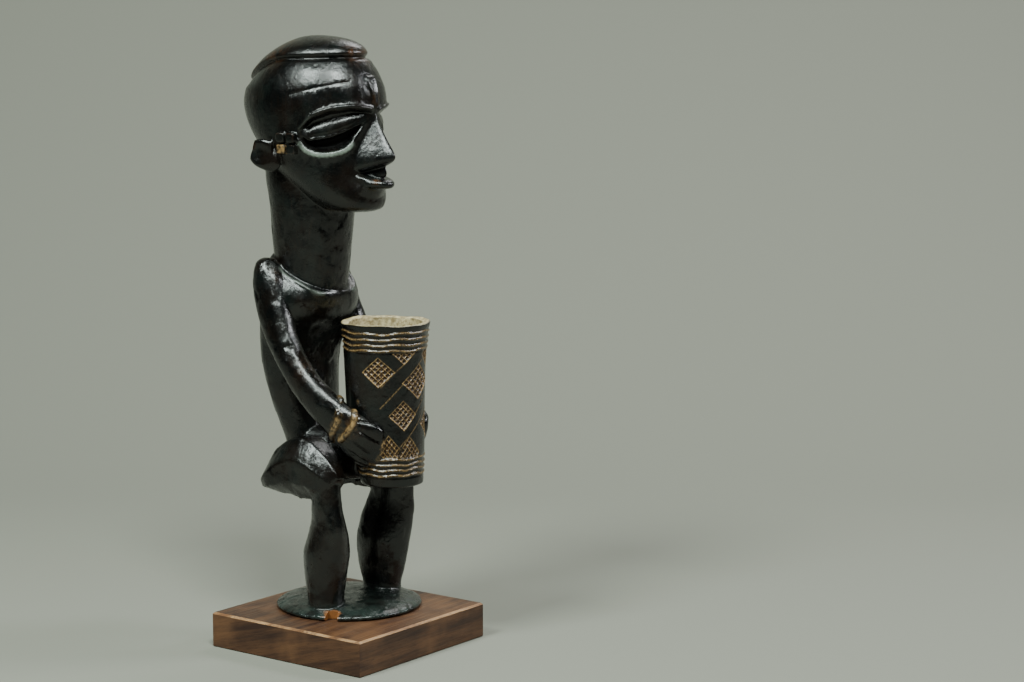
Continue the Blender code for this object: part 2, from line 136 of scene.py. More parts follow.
# Limb stations: the middle's x, y, z, then the half size sideways and the half size across the limb.
# They are those of the figure's right side, and the left side is their mirror image.
ARM = (
    (-27.0, 41.5, 217.5, 4.0, 3.5),
    (-28.5, 40.0, 213.0, 8.0, 7.5),
    (-30.0, 36.5, 203.0, 9.0, 11.0),
    (-31.5, 32.0, 189.5, 9.0, 11.5),
    (-33.5, 25.0, 174.0, 8.7, 10.2),
    (-34.8, 15.5, 159.0, 8.4, 9.3),
    (-34.5, 4.5, 145.0, 8.3, 9.5),
    (-33.0, -6.5, 134.0, 8.0, 10.4),
    (-30.5, -16.5, 125.0, 7.6, 11.6),
    (-27.6, -26.0, 117.0, 6.4, 13.2),
    (-24.2, -34.2, 110.0, 5.2, 15.0),
    (-19.8, -39.8, 106.5, 4.4, 13.0),
    (-16.6, -42.8, 105.5, 3.0, 9.0),
)
THIGH = (
    (-25.5, 41.6, 77.6, 6.0, 2.6),
    (-26.0, 39.4, 78.6, 9.6, 5.0),
    (-26.5, 35.4, 80.8, 12.6, 8.0),
    (-27.0, 29.0, 84.0, 14.0, 12.2),
    (-27.0, 21.0, 87.8, 14.2, 16.4),
    (-27.0, 11.0, 90.4, 13.8, 19.2),
    (-27.4, 2.0, 88.4, 13.4, 17.6),
    (-29.0, -6.0, 85.6, 11.2, 14.8),
    (-30.0, -11.0, 83.0, 8.8, 12.0),
    (-30.6, -15.0, 80.0, 5.8, 9.2),
)
# The flats round the thigh: shares of its half size sideways, outer side first, and of that across it.
THIGH_FLATS = (
    (-1.0, -0.4),
    (-0.4, -1.0),
    (0.6, -1.0),
    (1.0, -0.5),
    (1.0, 0.5),
    (0.5, 1.0),
    (-0.45, 1.0),
    (-1.0, 0.35),
)
EAR = (
    (-32.0, 25.5, 283.0, 1.6, 5.0),
    (-34.2, 28.5, 282.0, 2.6, 9.4),
    (-36.2, 33.0, 283.0, 3.0, 9.4),
    (-37.4, 37.8, 284.4, 2.8, 8.6),
    (-38.0, 41.6, 285.6, 1.9, 6.6),
)
# The hollow of the ear: its middle's y and z, its half sizes and its depth.
EAR_HOLLOW = (36.4, 283.8, 5.6, 7.2, 3.0)
# How much the cap and the head's upper edge hang lower at the back, and where that starts.
SAG = 14.0
SAG_PUSH = 0.62
SAG_FROM = (322.0, 22.0)
SHIN_TURN = 22.0
# The shin: height, the middle's x and y, then the half depth and the half width before it turns outwards.
SHIN = (
    (92.0, -29.0, -5.0, 8.6, 5.6),
    (83.0, -29.0, -7.2, 12.0, 7.6),
    (74.0, -29.0, -7.4, 13.6, 8.1),
    (66.0, -29.0, -7.7, 14.9, 8.4),
    (58.0, -28.6, -8.3, 16.6, 9.2),
    (50.0, -27.8, -7.4, 17.4, 11.4),
    (39.0, -27.2, -5.4, 17.5, 14.0),
    (28.0, -27.0, -4.6, 16.4, 13.2),
    (18.0, -27.0, -4.3, 14.4, 12.1),
    (10.0, -27.0, -4.2, 12.4, 11.3),
    (2.0, -27.0, -4.2, 12.6, 11.6),
)
# How far forward the left shin stands of where the right one's mirror image would: height and step.
LEFT_SHIN_FORWARD = ((54.0, 0.0), (66.0, 2.8), (76.0, 5.4), (88.0, 7.0))
LAP = (
    (24.0, 98.0, 20.0, 16.0),
    (6.0, 97.0, 18.0, 16.5),
    (-8.0, 97.0, 15.0, 15.5),
    (-17.0, 97.0, 12.0, 14.0),
)
# The round base: height and radius up its edge.
BASE = ((0.0, 44.2), (1.2, 45.6), (2.6, 45.0), (4.2, 41.5), (5.8, 35.0), (7.2, 26.0), (7.8, 12.0))
# The broken notch in the base's rim: its middle on the rim, the width and how far it reaches in.
NOTCH_AT = (-40.0, -19.9)
NOTCH_WIDTH = 8.0
NOTCH_REACH = 7.0
# The cup: height, the middle's y and the radius.
CUP = (
    (82.0, -35.7, 19.1),
    (95.0, -34.3, 20.8),
    (110.0, -32.6, 22.6),
    (130.0, -30.8, 24.0),
    (150.0, -30.6, 24.7),
    (165.0, -30.8, 25.5),
    (177.5, -31.2, 26.7),
    (182.5, -31.3, 27.6),
)
# The raised scar blocks on the temple: two across and two up, then the half sizes.
SCARS_Y = (11.6, 19.6)
SCARS_Z = (286.8, 293.8)
SCAR_HALF = (3.2, 3.3, 2.9)
# Borders of the eye by the angle round the head from the front, in degrees, against height.
EYE_AXIS_Y = 14.0
EYE_LOW = (
    (3.0, 306.5),
    (12.9, 301.5),
    (18.8, 296.8),
    (24.0, 292.0),
    (30.5, 288.6),
    (41.5, 286.3),
    (52.0, 285.6),
    (61.0, 286.0),
    (71.4, 288.4),
    (79.0, 295.0),
)
EYE_SLIT = ((3.0, 306.5), (13.9, 302.0), (31.2, 297.0), (46.9, 293.8), (69.4, 291.8), (79.0, 295.2))
EYE_TOP = ((3.0, 308.5), (25.2, 311.0), (46.8, 309.5), (65.6, 305.4), (77.5, 299.0), (79.0, 296.5))
SOCKET_DEPTH = 4.2
LENS_RISE = 3.4
# Lines of relief on the right side: points along them, the half width and the height, negative for a groove.
BROW = (
    (-34.2, 7.0, 299.5),
    (-31.9, -0.5, 307.2),
    (-26.0, -10.5, 311.6),
    (-15.8, -19.8, 313.0),
    (-3.0, -24.6, 311.0),
)
LOW_RIM = (
    (-33.7, 9.0, 291.8),
    (-32.0, 3.2, 285.8),
    (-29.2, -3.0, 283.7),
    (-26.3, -7.5, 283.5),
    (-22.7, -11.7, 284.2),
    (-17.6, -15.9, 286.3),
    (-13.8, -18.3, 290.0),
)
HAIRLINE = (
    (-35.0, 16.0, 318.6),
    (-34.0, 9.2, 320.8),
    (-28.0, -3.8, 324.2),
    (-16.3, -15.6, 327.0),
    (0.0, -21.0, 328.8),
)
BRACELET_UP = ((-28.5, -19.0, 137.0), (-36.6, -23.8, 124.8), (-36.4, -19.4, 116.9), (-31.0, -15.0, 111.0))
BRACELET_LOW = ((-26.0, -29.0, 134.5), (-32.6, -33.1, 124.6), (-34.4, -29.7, 117.8), (-34.2, -23.1, 111.5))
THUMB = ((-31.5, -36.0, 124.5), (-26.5, -40.5, 124.0), (-20.0, -45.5, 123.0))
# The edge of the shoulders round the foot of the neck.
NECKLINE = (
    (-24.0, 41.0, 215.5),
    (-26.4, 34.0, 213.3),
    (-26.4, 22.1, 207.7),
    (-20.5, 11.2, 199.5),
    (-14.6, 6.5, 197.5),
    (-7.8, 3.6, 200.0),
    (0.0, 2.6, 200.8),
)


# Fields of hatching on the cup: the middle as an arc from the figure's right front and a height, then the
# half width and half height of the lozenge, all in units of the figure.
FIELDS = (
    (-8.2, 153.5, 10.0, 9.0),
    (8.0, 167.0, 9.4, 8.8),
    (19.8, 146.6, 12.6, 10.6),
    (7.6, 126.6, 9.6, 9.0),
    (34.0, 163.0, 11.0, 12.0),
    (33.0, 120.5, 10.5, 9.5),
    (-3.3, 104.8, 8.2, 9.8),
    (11.5, 103.0, 9.0, 10.3),
    (46.0, 142.0, 10.5, 10.0),
    (61.0, 160.0, 10.5, 10.0),
    (60.0, 122.0, 10.5, 9.5),
    (-54.0, 150.0, 10.5, 10.0),
    (-68.0, 131.0, 10.5, 10.0),
    (-44.0, 115.0, 9.5, 9.0),
    (48.0, 105.0, 9.0, 9.0),
    (72.0, 104.0, 9.0, 9.0),
    (-62.0, 106.0, 8.0, 9.0),
    (-78.0, 162.0, 9.0, 10.0),
)
# The incised edges of the bands that run on past the fields, as arcs and heights.
BAND_LINES = (
    ((-6.5, 144.6), (1.8, 153.3), (8.0, 158.3), (18.0, 167.0)),
    ((-7.2, 131.5), (5.8, 144.6), (19.0, 157.0), (27.0, 163.0)),
    ((7.8, 117.4), (17.2, 127.3), (32.0, 141.5)),
    ((3.0, 106.5), (11.0, 113.5), (20.0, 121.5), (27.0, 129.0)),
)
TOP_RINGS = (177.0, 173.4, 169.8, 166.4)
FOOT_RINGS = (99.6, 96.2, 93.0, 89.6)
HATCH_CELLS = 5
# The direction on the cup from which its arcs are counted: towards the figure's right front.
CUP_FRONT = math.radians(-131.0)
FINGERS = (
    ((-31.5, -36.0, 118.5), (-28.5, -41.0, 114.5), (-24.0, -45.5, 111.0)),
    ((-32.5, -32.5, 111.0), (-30.0, -36.5, 107.5), (-27.0, -40.0, 104.0)),
    ((-31.0, -28.5, 104.5), (-28.0, -32.5, 101.0), (-25.0, -36.0, 98.0)),
)
# Where use has rubbed the black through to brown: the middle, the reach and how far through.
BROWNED = (
    ((0.0, -41.0, 277.0), 5.0, 1.0),
    ((-6.0, -16.0, 346.0), 11.0, 0.8),
    ((-10.0, 58.0, 338.0), 18.0, 0.8),
    ((-18.0, 34.0, 344.0), 16.0, 0.5),
    ((-8.0, -31.0, 268.0), 3.5, 1.0),
    ((0.0, -26.0, 318.0), 7.0, 0.4),
    ((-38.0, 43.0, 290.0), 6.0, 0.6),
    ((-38.0, 22.0, 214.0), 14.0, 0.35),
    ((-40.0, -1.0, 157.0), 12.0, 0.3),
    ((-30.0, -30.0, 120.0), 9.0, 0.4),
)
# The way that the back of the right hand faces.
HAND_OUT = (-0.80, -0.58, 0.1)
ARM_NICKS = (
    ((-40.0, 21.0, 198.5), (-35.0, 17.0, 199.5)),
    ((-42.0, 14.0, 166.5), (-37.0, 9.0, 168.0)),
    ((-40.0, 1.0, 141.0), (-38.0, -4.0, 144.5)),
)


def smooth_stations(stations, steps):
    """More stations along a smooth curve through the given ones."""
    table = np.array(stations, float)
    ends = [2 * table[0] - table[1], *table, 2 * table[-1] - table[-2]]
    found = []
    for i in range(1, len(ends) - 2):
        before, here, there, after = ends[i - 1 : i + 3]
        for step in range(steps):
            t = step / steps
            found.append(
                0.5
                * (
                    2 * here
                    + (there - before) * t
                    + (2 * before - 5 * here + 4 * there - after) * t**2
                    + (3 * here - before - 3 * there + after) * t**3
                )
            )
    return np.array([*found, table[-1]])


def ring(middle, side, across, corner, count):
    """Points round a superellipse whose half axes are the vectors side and across."""
    angles = np.linspace(0, 2 * math.pi, count, endpoint=False)
    power = 2.0 / corner
    c, s = np.cos(angles), np.sin(angles)
    u = np.sign(c) * np.abs(c) ** power
    v = np.sign(s) * np.abs(s) ** power
    return middle + np.outer(u, side) + np.outer(v, across)


def flat_ring(middle, side, across, flats, count):
    """Points round a ring of flats, spaced evenly along its edges."""
    corners = np.array([*flats, flats[0]], float)
    runs = np.linalg.norm(np.diff(corners, axis=0), axis=1)
    reach = np.concatenate(((0.0,), np.cumsum(runs)))
    at = np.linspace(0, reach[-1], count, endpoint=False)
    u, v = np.interp(at, reach, corners[:, 0]), np.interp(at, reach, corners[:, 1])
    return middle + np.outer(u, side) + np.outer(v, across)


def skin(shape, rings):
    """A closed tube through rings of points."""
    loops = [[shape.verts.new(Vector(p) * UNIT) for p in points] for points in rings]
    count = len(loops[0])
    for low, high in zip(loops, loops[1:]):
        for i in range(count):
            j = (i + 1) % count
            shape.faces.new((low[i], low[j], high[j], high[i]))
    shape.faces.new(loops[0][::-1])
    shape.faces.new(loops[-1])


def sagged(points):
    """Points of the head, with those near the top lowered and set back towards the nape."""
    low, front = SAG_FROM
    high = np.clip((points[:, 2] - low) / 18, 0, 1)
    back = np.clip((points[:, 1] - front) / 38, 0, 1.2)
    drop = SAG * high * back**2
    points[:, 1] += SAG_PUSH * drop
    points[:, 2] -= drop
    return points


def upright(shape, stations, corner=2.0, count=48, steps=4):
    """A form whose rings lie level, or lean by the fifth number in degrees, front down."""
    rings = []
    for z, y, width, depth, *lean in smooth_stations(stations, steps):
        angle = math.radians(lean[0]) if lean else 0.0
        across = np.array((0.0, math.cos(angle), math.sin(angle))) * depth
        rings.append(sagged(ring(np.array((0.0, y, z)), np.array((width, 0.0, 0.0)), across, corner, count)))
    skin(shape, rings)


def limb(shape, stations, mirror, corner=2.0, flats=None, count=32, steps=4):
    """A form along a curve: its rings stand square to the curve, with one axis kept sideways."""
    table = smooth_stations(stations, steps)
    middles = table[:, :3].copy()
    middles[:, 0] *= mirror
    tangents = np.gradient(middles, axis=0)
    rings = []
    for middle, tangent, (half_side, half_across) in zip(middles, tangents, table[:, 3:5]):
        tangent = tangent / np.linalg.norm(tangent)
        side = np.array((1.0, 0.0, 0.0)) - tangent[0] * tangent
        side /= np.linalg.norm(side)
        across = np.cross(tangent, side)
        if flats:
            turned = [(u * mirror, v) for u, v in flats]
            rings.append(flat_ring(middle, side * half_side, across * half_across, turned, count))
        else:
            rings.append(ring(middle, side * half_side, across * half_across, corner, count))
    skin(shape, rings)


def shin(shape, mirror):
    turn = math.radians(SHIN_TURN) * mirror
    forward = np.array((-math.sin(turn), -math.cos(turn), 0.0))
    sideways = np.array((math.cos(turn), -math.sin(turn), 0.0))
    rings = []
    for z, x, y, depth, width in smooth_stations(SHIN, 4):
        if mirror < 0:
            y -= np.interp(z, *np.array(LEFT_SHIN_FORWARD).T)
        rings.append(ring(np.array((x * mirror, y, z)), sideways * width, forward * depth, 1.8, 32))
    skin(shape, rings)


def disc(shape):
    rings = []
    for z, radius in BASE:
        rings.append(ring(np.array((0.0, 0.0, z)), np.array((radius, 0, 0)), np.array((0, radius, 0)), 2.0, 64))
    skin(shape, rings)


def cup(shape):
    rings = []
    for z, y, radius in smooth_stations(CUP, 2):
        rings.append(ring(np.array((0.0, y, z)), np.array((radius, 0, 0)), np.array((0, radius, 0)), 2.0, 64))
    skin(shape, rings)


def scars(shape, mirror):
    half_x, half_y, half_z = SCAR_HALF
    for y in SCARS_Y:
        for z in SCARS_Z:
            across = np.array((0.0, half_y, 0.0))
            upward = np.array((0.0, 0.0, half_z))
            x = -34.2 - 0.12 * (z - SCARS_Z[0])
            skin(
                shape,
                [ring(np.array((mirror * (x + step), y, z)), across, upward, 6.0, 16) for step in (half_x, -half_x)],
            )


def distance_to_line(points, line):
    """How far each point is from a line of straight runs."""
    nearest = np.full(len(points), 1e9)
    for start, end in zip(line, line[1:]):
        run = end - start
        along = np.clip((points - start) @ run / (run @ run), 0, 1)
        nearest = np.minimum(nearest, np.linalg.norm(points - start - along[:, None] * run, axis=1))
    return nearest


def ribs(points, line, pitch):
    """How far along a line each point lies, as a cosine of the given pitch."""
    nearest = np.full(len(points), 1e9)
    along = np.zeros(len(points))
    run_up = 0.0
    for start, end in zip(line, line[1:]):
        run = end - start
        length = np.linalg.norm(run)
        t = np.clip((points - start) @ run / length**2, 0, 1)
        away = np.linalg.norm(points - start - t[:, None] * run, axis=1)
        closer = away < nearest
        nearest = np.where(closer, away, nearest)
        along = np.where(closer, run_up + t * length, along)
        run_up += length
    return np.cos(2 * math.pi * along / pitch)


def step(value, low, high):
    t = np.clip((value - low) / (high - low), 0, 1)
    return t * t * (3 - 2 * t)


def facets(points, size, seed):
    """The flats that a small adze leaves: each cell tilts its own way."""
    rng = np.random.default_rng(seed)
    cell = np.floor(points / size).astype(int)
    low = cell.min(0) - 1
    shape = cell.max(0) - low + 3
    jitter = rng.random((*shape, 3))
    tilt = rng.normal(size=(*shape, 3))
    tilt /= np.linalg.norm(tilt, axis=-1, keepdims=True)
    nearest = np.full(len(points), 1e9)
    lift = np.zeros(len(points))
    for dx in (-1, 0, 1):
        for dy in (-1, 0, 1):
            for dz in (-1, 0, 1):
                at = cell + np.array((dx, dy, dz)) - low
                index = tuple(at.T)
                middle = (at + low + jitter[index]) * size
                away = points - middle
                distance = np.linalg.norm(away * np.array((1.0, 1.0, 0.7)), axis=1)
                closer = distance < nearest
                nearest = np.where(closer, distance, nearest)
                lift = np.where(closer, (away * tilt[index]).sum(1) / size, lift)
    return lift


def eye_borders(right):
    angle = np.degrees(np.arctan2(-right[:, 0], EYE_AXIS_Y - right[:, 1]))
    low, slit, top = (np.interp(angle, *np.array(border).T) for border in (EYE_LOW, EYE_SLIT, EYE_TOP))
    return angle, low, slit, top


def face_relief(right):
    """The socket, the lid with its slit, the brow, the ribbed rim and the crest of the forehead."""
    z = right[:, 2]
    height = np.zeros(len(right))
    angle, low, slit, top = eye_borders(right)
    open_height = np.maximum(top - low, 0.5)
    share = (z - low) / open_height
    inside = (share > -0.02) & (share < 1.02) & (angle > 3) & (angle < 79) & (right[:, 1] < EYE_AXIS_Y)
    walls = np.minimum(np.clip(share / 0.07, 0, 1), np.clip((1 - share) / 0.07, 0, 1))
    narrow = np.clip(open_height / 14, 0, 1) ** 0.7
    above = np.clip((z - slit) / np.maximum(0.52 * (top - slit) + 2.0, 0.5), -1, 1)
    lid = np.where(z > slit, np.sqrt(np.clip(1 - above**2, 0, 1)), np.clip(1 + (z - slit) / 1.2, 0, 1))
    lid_edge = np.exp(-(((z - slit - 0.4) / 0.85) ** 2))
    lid_line = np.exp(-(((z - slit - 2.3) / 0.75) ** 2))
    ends = step(angle, 5, 14) * (1 - step(angle, 68, 76))
    below = 1.0 + 0.3 * (z < slit)
    socket = LENS_RISE * lid - SOCKET_DEPTH * below * walls + ends * (0.4 * lid_edge - 0.5 * lid_line)
    height += np.where(inside, narrow * socket, 0)
    brow = distance_to_line(right, smooth_stations(BROW, 6)) / 1.5
    height += 1.5 * np.clip(1 - brow**2, 0, 1) ** 0.8
    rim = smooth_stations(LOW_RIM, 6)
    near = distance_to_line(right, rim) / 2.0
    height += np.clip(1 - near**4, 0, 1) * (1.1 + 0.24 * ribs(right, rim, 2.9)) * step(angle, 20, 26)
    crest_half = np.interp(z, (308.5, 312.0, 319.0, 325.0, 328.5, 330.5), (0.4, 1.0, 2.6, 4.0, 4.4, 3.4))
    crest = 1 - step(np.abs(right[:, 0]), crest_half - 0.4, crest_half + 0.4)
    crest *= step(z, 308.5, 310.5) * (1 - step(z, 330.0, 331.0)) * (right[:, 1] < 0)
    line = distance_to_line(right, smooth_stations(HAIRLINE, 6)) / 0.9
    height -= 0.8 * np.clip(1 - line**2, 0, 1) * (1 - crest)
    hollow = 1 - step(np.abs(right[:, 0]) / crest_half, 0.35, 0.75)
    height += crest * (1.0 - 0.4 * hollow)
    return height


def ear_relief(right):
    """The shallow hollow of the ear, open towards the front."""
    middle_y, middle_z, half_y, half_z, depth = EAR_HOLLOW
    y, z = (right[:, 1] - middle_y) / half_y, (right[:, 2] - middle_z) / half_z
    y = np.where(y < 0, y / 1.8, y)
    out = np.sqrt(y**2 + z**2)
    hollow = 0.75 * depth * (1 - step(out, 0.35, 1.15))
    return -hollow * (right[:, 0] < -33.0)


def flattened(points, outward):
    """Points with their distance along the outward direction cut to a fifth."""
    outward = np.array(outward) / np.linalg.norm(outward)
    return points - 0.8 * np.outer(points @ outward, outward)


def strokes(points, seed, count, low, high, length, half_width, depth):
    """Short rough cuts at random places in a box, each a straight groove."""
    rng = np.random.default_rng(seed)
    height = np.zeros(len(points))
    low, high = np.array(low), np.array(high)
    for _ in range(count):
        middle = low + rng.random(3) * (high - low)
        way = rng.normal(size=3) * np.array((1.0, 0.3, 1.0))
        way /= np.linalg.norm(way)
        reach = length * (0.5 + rng.random())
        near = np.linalg.norm(points - middle, axis=1) < reach + 2
        if not near.any():
            continue
        ends = np.array((middle - way * reach / 2, middle + way * reach / 2))
        away = distance_to_line(points[near], ends) / half_width
        height[near] = np.minimum(height[near], -depth * np.clip(1 - away**2, 0, 1))
    return height


def body_relief(points):
    """All the carving of the body, in units of the figure."""
    right = points.copy()
    right[:, 0] = -np.abs(right[:, 0])
    z = points[:, 2]
    height = face_relief(right) + ear_relief(right)
    hand = flattened(right, HAND_OUT)
    on_hand = step(-right[:, 0], 14, 18) * (1 - step(z, 142, 146)) * step(z, 92, 96)
    for line in (BRACELET_UP, BRACELET_LOW):
        near = distance_to_line(right, smooth_stations(line, 6)) / 2.2
        height += 1.5 * np.clip(1 - near**4, 0, 1) ** 0.7
    for line, half_width, depth in ((THUMB, 0.9, 1.2), *((line, 0.75, 1.0) for line in FINGERS)):
        near = distance_to_line(hand, flattened(smooth_stations(line, 6), HAND_OUT)) / half_width
        height -= depth * np.clip(1 - near**2, 0, 1) * on_hand
    ledge = distance_to_line(right, smooth_stations(NECKLINE, 6)) / 1.8
    height += 0.8 * np.clip(1 - ledge**2, 0, 1)
    for line in ARM_NICKS:
        near = distance_to_line(points, np.array(line)) / 0.7
        height -= 0.6 * np.clip(1 - near**2, 0, 1)
    # The lower lip is full and blunt at its front.
    under_lip = np.exp(-(((z - 265.8) / 2.4) ** 2)) * step(-right[:, 1], 23, 28) * (1 - step(-right[:, 0], 10, 14))
    height += 1.5 * under_lip
    flat = facets(points, 9.0, 3) * 0.20 + facets(points + 50.0, 5.0, 5) * 0.07
    calm = 1 - 0.8 * step(z, 246, 262)
    on_base = 1 + 0.8 * (1 - step(z, 7, 12))
    height += flat * calm * on_base
    height += strokes(points, 11, 70, (-26, 4, 150), (14, 22, 196), 5.0, 0.55, 0.5)
    height += strokes(points, 12, 30, (-22, 8, 122), (18, 24, 152), 5.0, 0.6, 0.45)
    height += strokes(points, 13, 26, (-42, -24, 8), (-14, 12, 74), 6.0, 0.5, 0.35)
    height += strokes(points, 14, 40, (-46, -46, 2), (46, 46, 9), 8.0, 0.6, 0.4)
    return height


def body_shells():
    """The forms of the body, each a closed shell that runs into its neighbours."""
    shape = bmesh.new()
    upright(shape, HEAD, count=96, steps=8)
    upright(shape, CAP, count=96, steps=8)
    upright(shape, NOSE, corner=1.35, count=64, steps=8)
    upright(shape, UPPER_LIP, corner=1.4, count=64, steps=8)
    upright(shape, LOWER_LIP, corner=1.7, count=64, steps=8)
    upright(shape, NECK, count=64)
    upright(shape, TORSO, corner=2.3, count=80, steps=8)
    for mirror in (1, -1):
        limb(shape, ARM, mirror, corner=2.2, count=48, steps=8)
        limb(shape, THIGH, mirror, flats=THIGH_FLATS, count=96, steps=8)
        limb(shape, EAR, mirror, count=48, steps=8)
        shin(shape, mirror)
        scars(shape, mirror)
    rings = [
        ring(np.array((0.0, y, z)), np.array((half_x, 0, 0)), np.array((0, 0, half_z)), 2.8, 48)
        for y, z, half_x, half_z in LAP
    ]
    skin(shape, rings)
    disc(shape)
    bmesh.ops.recalc_face_normals(shape, faces=shape.faces)
    mesh = bpy.data.meshes.new("body")
    shape.to_mesh(mesh)
    shape.free()
    return mesh


def cup_profile(z):
    heights, middles, radii = np.array(CUP).T
    return np.interp(z, heights, middles), np.interp(z, heights, radii)


def hatch_places(arc, z):
    """Where each point lies in the field of hatching nearest to it, counted in cells along both its edges."""
    best = np.full(len(arc), -1e9)
    second = np.full(len(arc), -1e9)
    place = np.full((len(arc), 2), -1.0)
    for middle_arc, middle_z, half_arc, half_z in FIELDS:
        across = (arc - middle_arc) / half_arc
        up = (z - middle_z) / half_z
        p, q = (across + up) / 2 + 0.5, (across - up) / 2 + 0.5
        edge = np.minimum(np.minimum(p, 1 - p), np.minimum(q, 1 - q))
        nearer = edge > best
        second = np.where(nearer, best, np.maximum(second, edge))
        best = np.where(nearer, edge, best)
        place[nearer] = np.column_stack((p, q))[nearer] * HATCH_CELLS
    return place, best * HATCH_CELLS, (best - second) * HATCH_CELLS


def field_masks(arc, z):
    """For points on the cup's wall: the pits of the hatching, the raised pale lines and the incised lines."""
    pits = np.zeros(len(arc))
    lines = np.zeros(len(arc))
    sunk = np.zeros(len(arc))
    inside_zone = step(z, 100.6, 101.2) * (1 - step(z, 164.6, 165.2))
    for middle_arc, middle_z, half_arc, half_z in FIELDS:
        across = (arc - middle_arc) / half_arc
        up = (z - middle_z) / half_z
        p, q = (across + up) / 2 + 0.5, (across - up) / 2 + 0.5
        edge = np.minimum(np.minimum(p, 1 - p), np.minimum(q, 1 - q)) * (half_arc + half_z)
        inside = step(edge, 0.0, 0.35)
        sunk = np.maximum(sunk, inside)
        grid_p = np.abs(p * HATCH_CELLS - np.round(p * HATCH_CELLS))
        grid_q = np.abs(q * HATCH_CELLS - np.round(q * HATCH_CELLS))
        pit = step(np.minimum(grid_p, grid_q), 0.05, 0.15)
        pits = np.maximum(pits, pit * step(edge, 0.3, 0.8))
        lines = np.maximum(lines, np.exp(-(((edge - 0.1) / 0.3) ** 2)))
    for line in BAND_LINES:
        flat = np.column_stack((arc, z))
        away = distance_to_line(flat, np.array(line))
        lines = np.maximum(lines, 0.8 * np.exp(-((away / 0.3) ** 2)))
    return pits * inside_zone, lines * inside_zone, sunk * inside_zone


def ring_masks(arc, z):
    """The raised wavy rings at the top and the foot of the cup, and the hollows between them."""
    ridge = np.zeros(len(arc))
    for number, height in enumerate(TOP_RINGS + FOOT_RINGS):
        wave = 0.38 * np.sin(arc / 3.1 + 0.35 * number) + 0.25 * np.sin(arc / 7.3 + 0.9 * number)
        ridge = np.maximum(ridge, np.exp(-(((z - height - wave) / 0.62) ** 2)))
    zone = step(z, 164.9, 165.6) * (1 - step(z, 178.4, 179.2)) + step(z, 87.6, 88.4) * (1 - step(z, 100.6, 101.2))
    return ridge * zone, (1 - ridge) * zone


def cup_arc(points):
    """Arc round the cup and height for points in the figure's frame."""
    middle, radius = cup_profile(points[:, 2])
    angle = np.arctan2(points[:, 1] - middle, points[:, 0]) - CUP_FRONT
    angle = (angle + math.pi) % (2 * math.pi) - math.pi
    return angle * 24.8, points[:, 2], np.hypot(points[:, 0], points[:, 1] - middle) - radius


def cup_shell():
    """The cup's closed shell: a dense wall that carries the carving, and a rim, a bore and an underside."""
    foot, rim = CUP[0][0], CUP[-1][0]
    floor = foot + CUP_FLOOR / UNIT
    wall = CUP_WALL / UNIT
    rounding = 1.2
    rows = []
    heights = np.linspace(foot, rim, CUP_UP)
    angles = np.linspace(0, 2 * math.pi, CUP_AROUND, endpoint=False)
    for r in (2.0, 8.0, 14.0):
        rows.append((foot, np.full(CUP_AROUND, r)))
    for z in heights:
        middle, radius = cup_profile(z)
        low = max(0.0, rounding - (z - foot))
        high = max(0.0, rounding - (rim - z))
        inset = rounding - math.sqrt(max(0.0, rounding**2 - max(low, high) ** 2))
        rows.append((z, np.full(CUP_AROUND, radius - inset)))
    chips = 0.25 * np.sin(angles * 5 + 1.0) + 0.2 * np.sin(angles * 11) + 0.15 * np.sin(angles * 23 + 2)
    inner_rim = cup_profile(rim - 5)[1] - wall
    rows.append((rim - 0.3, np.full(CUP_AROUND, inner_rim + wall * 0.5) + chips))
    rows.append((rim - 0.9, np.full(CUP_AROUND, inner_rim) + chips * 1.5))
    for z in np.linspace(rim - 3, floor + 1.5, 12):
        rows.append((z, np.full(CUP_AROUND, cup_profile(min(z, rim - 5))[1] - wall)))
    bottom = cup_profile(floor)[1] - wall
    for z, r in ((floor + 0.5, bottom - 0.5), (floor, bottom - 1.5), (floor, bottom * 0.6), (floor, 2.0)):
        rows.append((z, np.full(CUP_AROUND, r)))
    points = []
    for z, radius in rows:
        middle = cup_profile(min(z, rim))[0]
        points.append(
            np.column_stack((radius * np.cos(angles), middle + radius * np.sin(angles), np.full(CUP_AROUND, z)))
        )
    points = np.concatenate(points)
    count = len(rows)
    i = np.arange(CUP_AROUND)
    j = (i + 1) % CUP_AROUND
    quads = []
    for row in range(count - 1):
        a = row * CUP_AROUND
        b = a + CUP_AROUND
        quads.append(np.column_stack((a + i, a + j, b + j, b + i)))
    faces = np.concatenate(quads).tolist()
    faces.append(i[::-1].tolist())
    faces.append((i + (count - 1) * CUP_AROUND).tolist())
    arc, z, _ = cup_arc(points)
    outer = (np.arange(len(points)) >= 3 * CUP_AROUND) & (np.arange(len(points)) < (3 + CUP_UP) * CUP_AROUND)
    pits, lines, sunk = field_masks(arc, z)
    ridge, hollow = ring_masks(arc, z)
    depth = 0.12 * facets(points, 6.0, 8) - 0.15 * sunk - 0.85 * pits + 0.1 * lines + 0.5 * ridge - 0.4 * hollow
    middle, _ = cup_profile(z)
    away = np.column_stack((points[:, 0], points[:, 1] - middle, np.zeros(len(points))))
    away /= np.maximum(np.linalg.norm(away, axis=1, keepdims=True), 1e-6)
    points += away * (depth * outer)[:, None]
    top_wear = 0.35 * np.sin(angles * 3 + 0.5) + 0.2 * np.sin(angles * 8)
    near_rim = step(points[:, 2], rim - 2, rim)
    points[:, 2] -= near_rim * (0.35 + np.tile(top_wear, count))
    mesh = bpy.data.meshes.new("cup")
    mesh.from_pydata((points * UNIT).tolist(), [], faces)
    shape = bmesh.new()
    shape.from_mesh(mesh)
    bmesh.ops.recalc_face_normals(shape, faces=shape.faces)
    shape.to_mesh(mesh)
    shape.free()
    return mesh


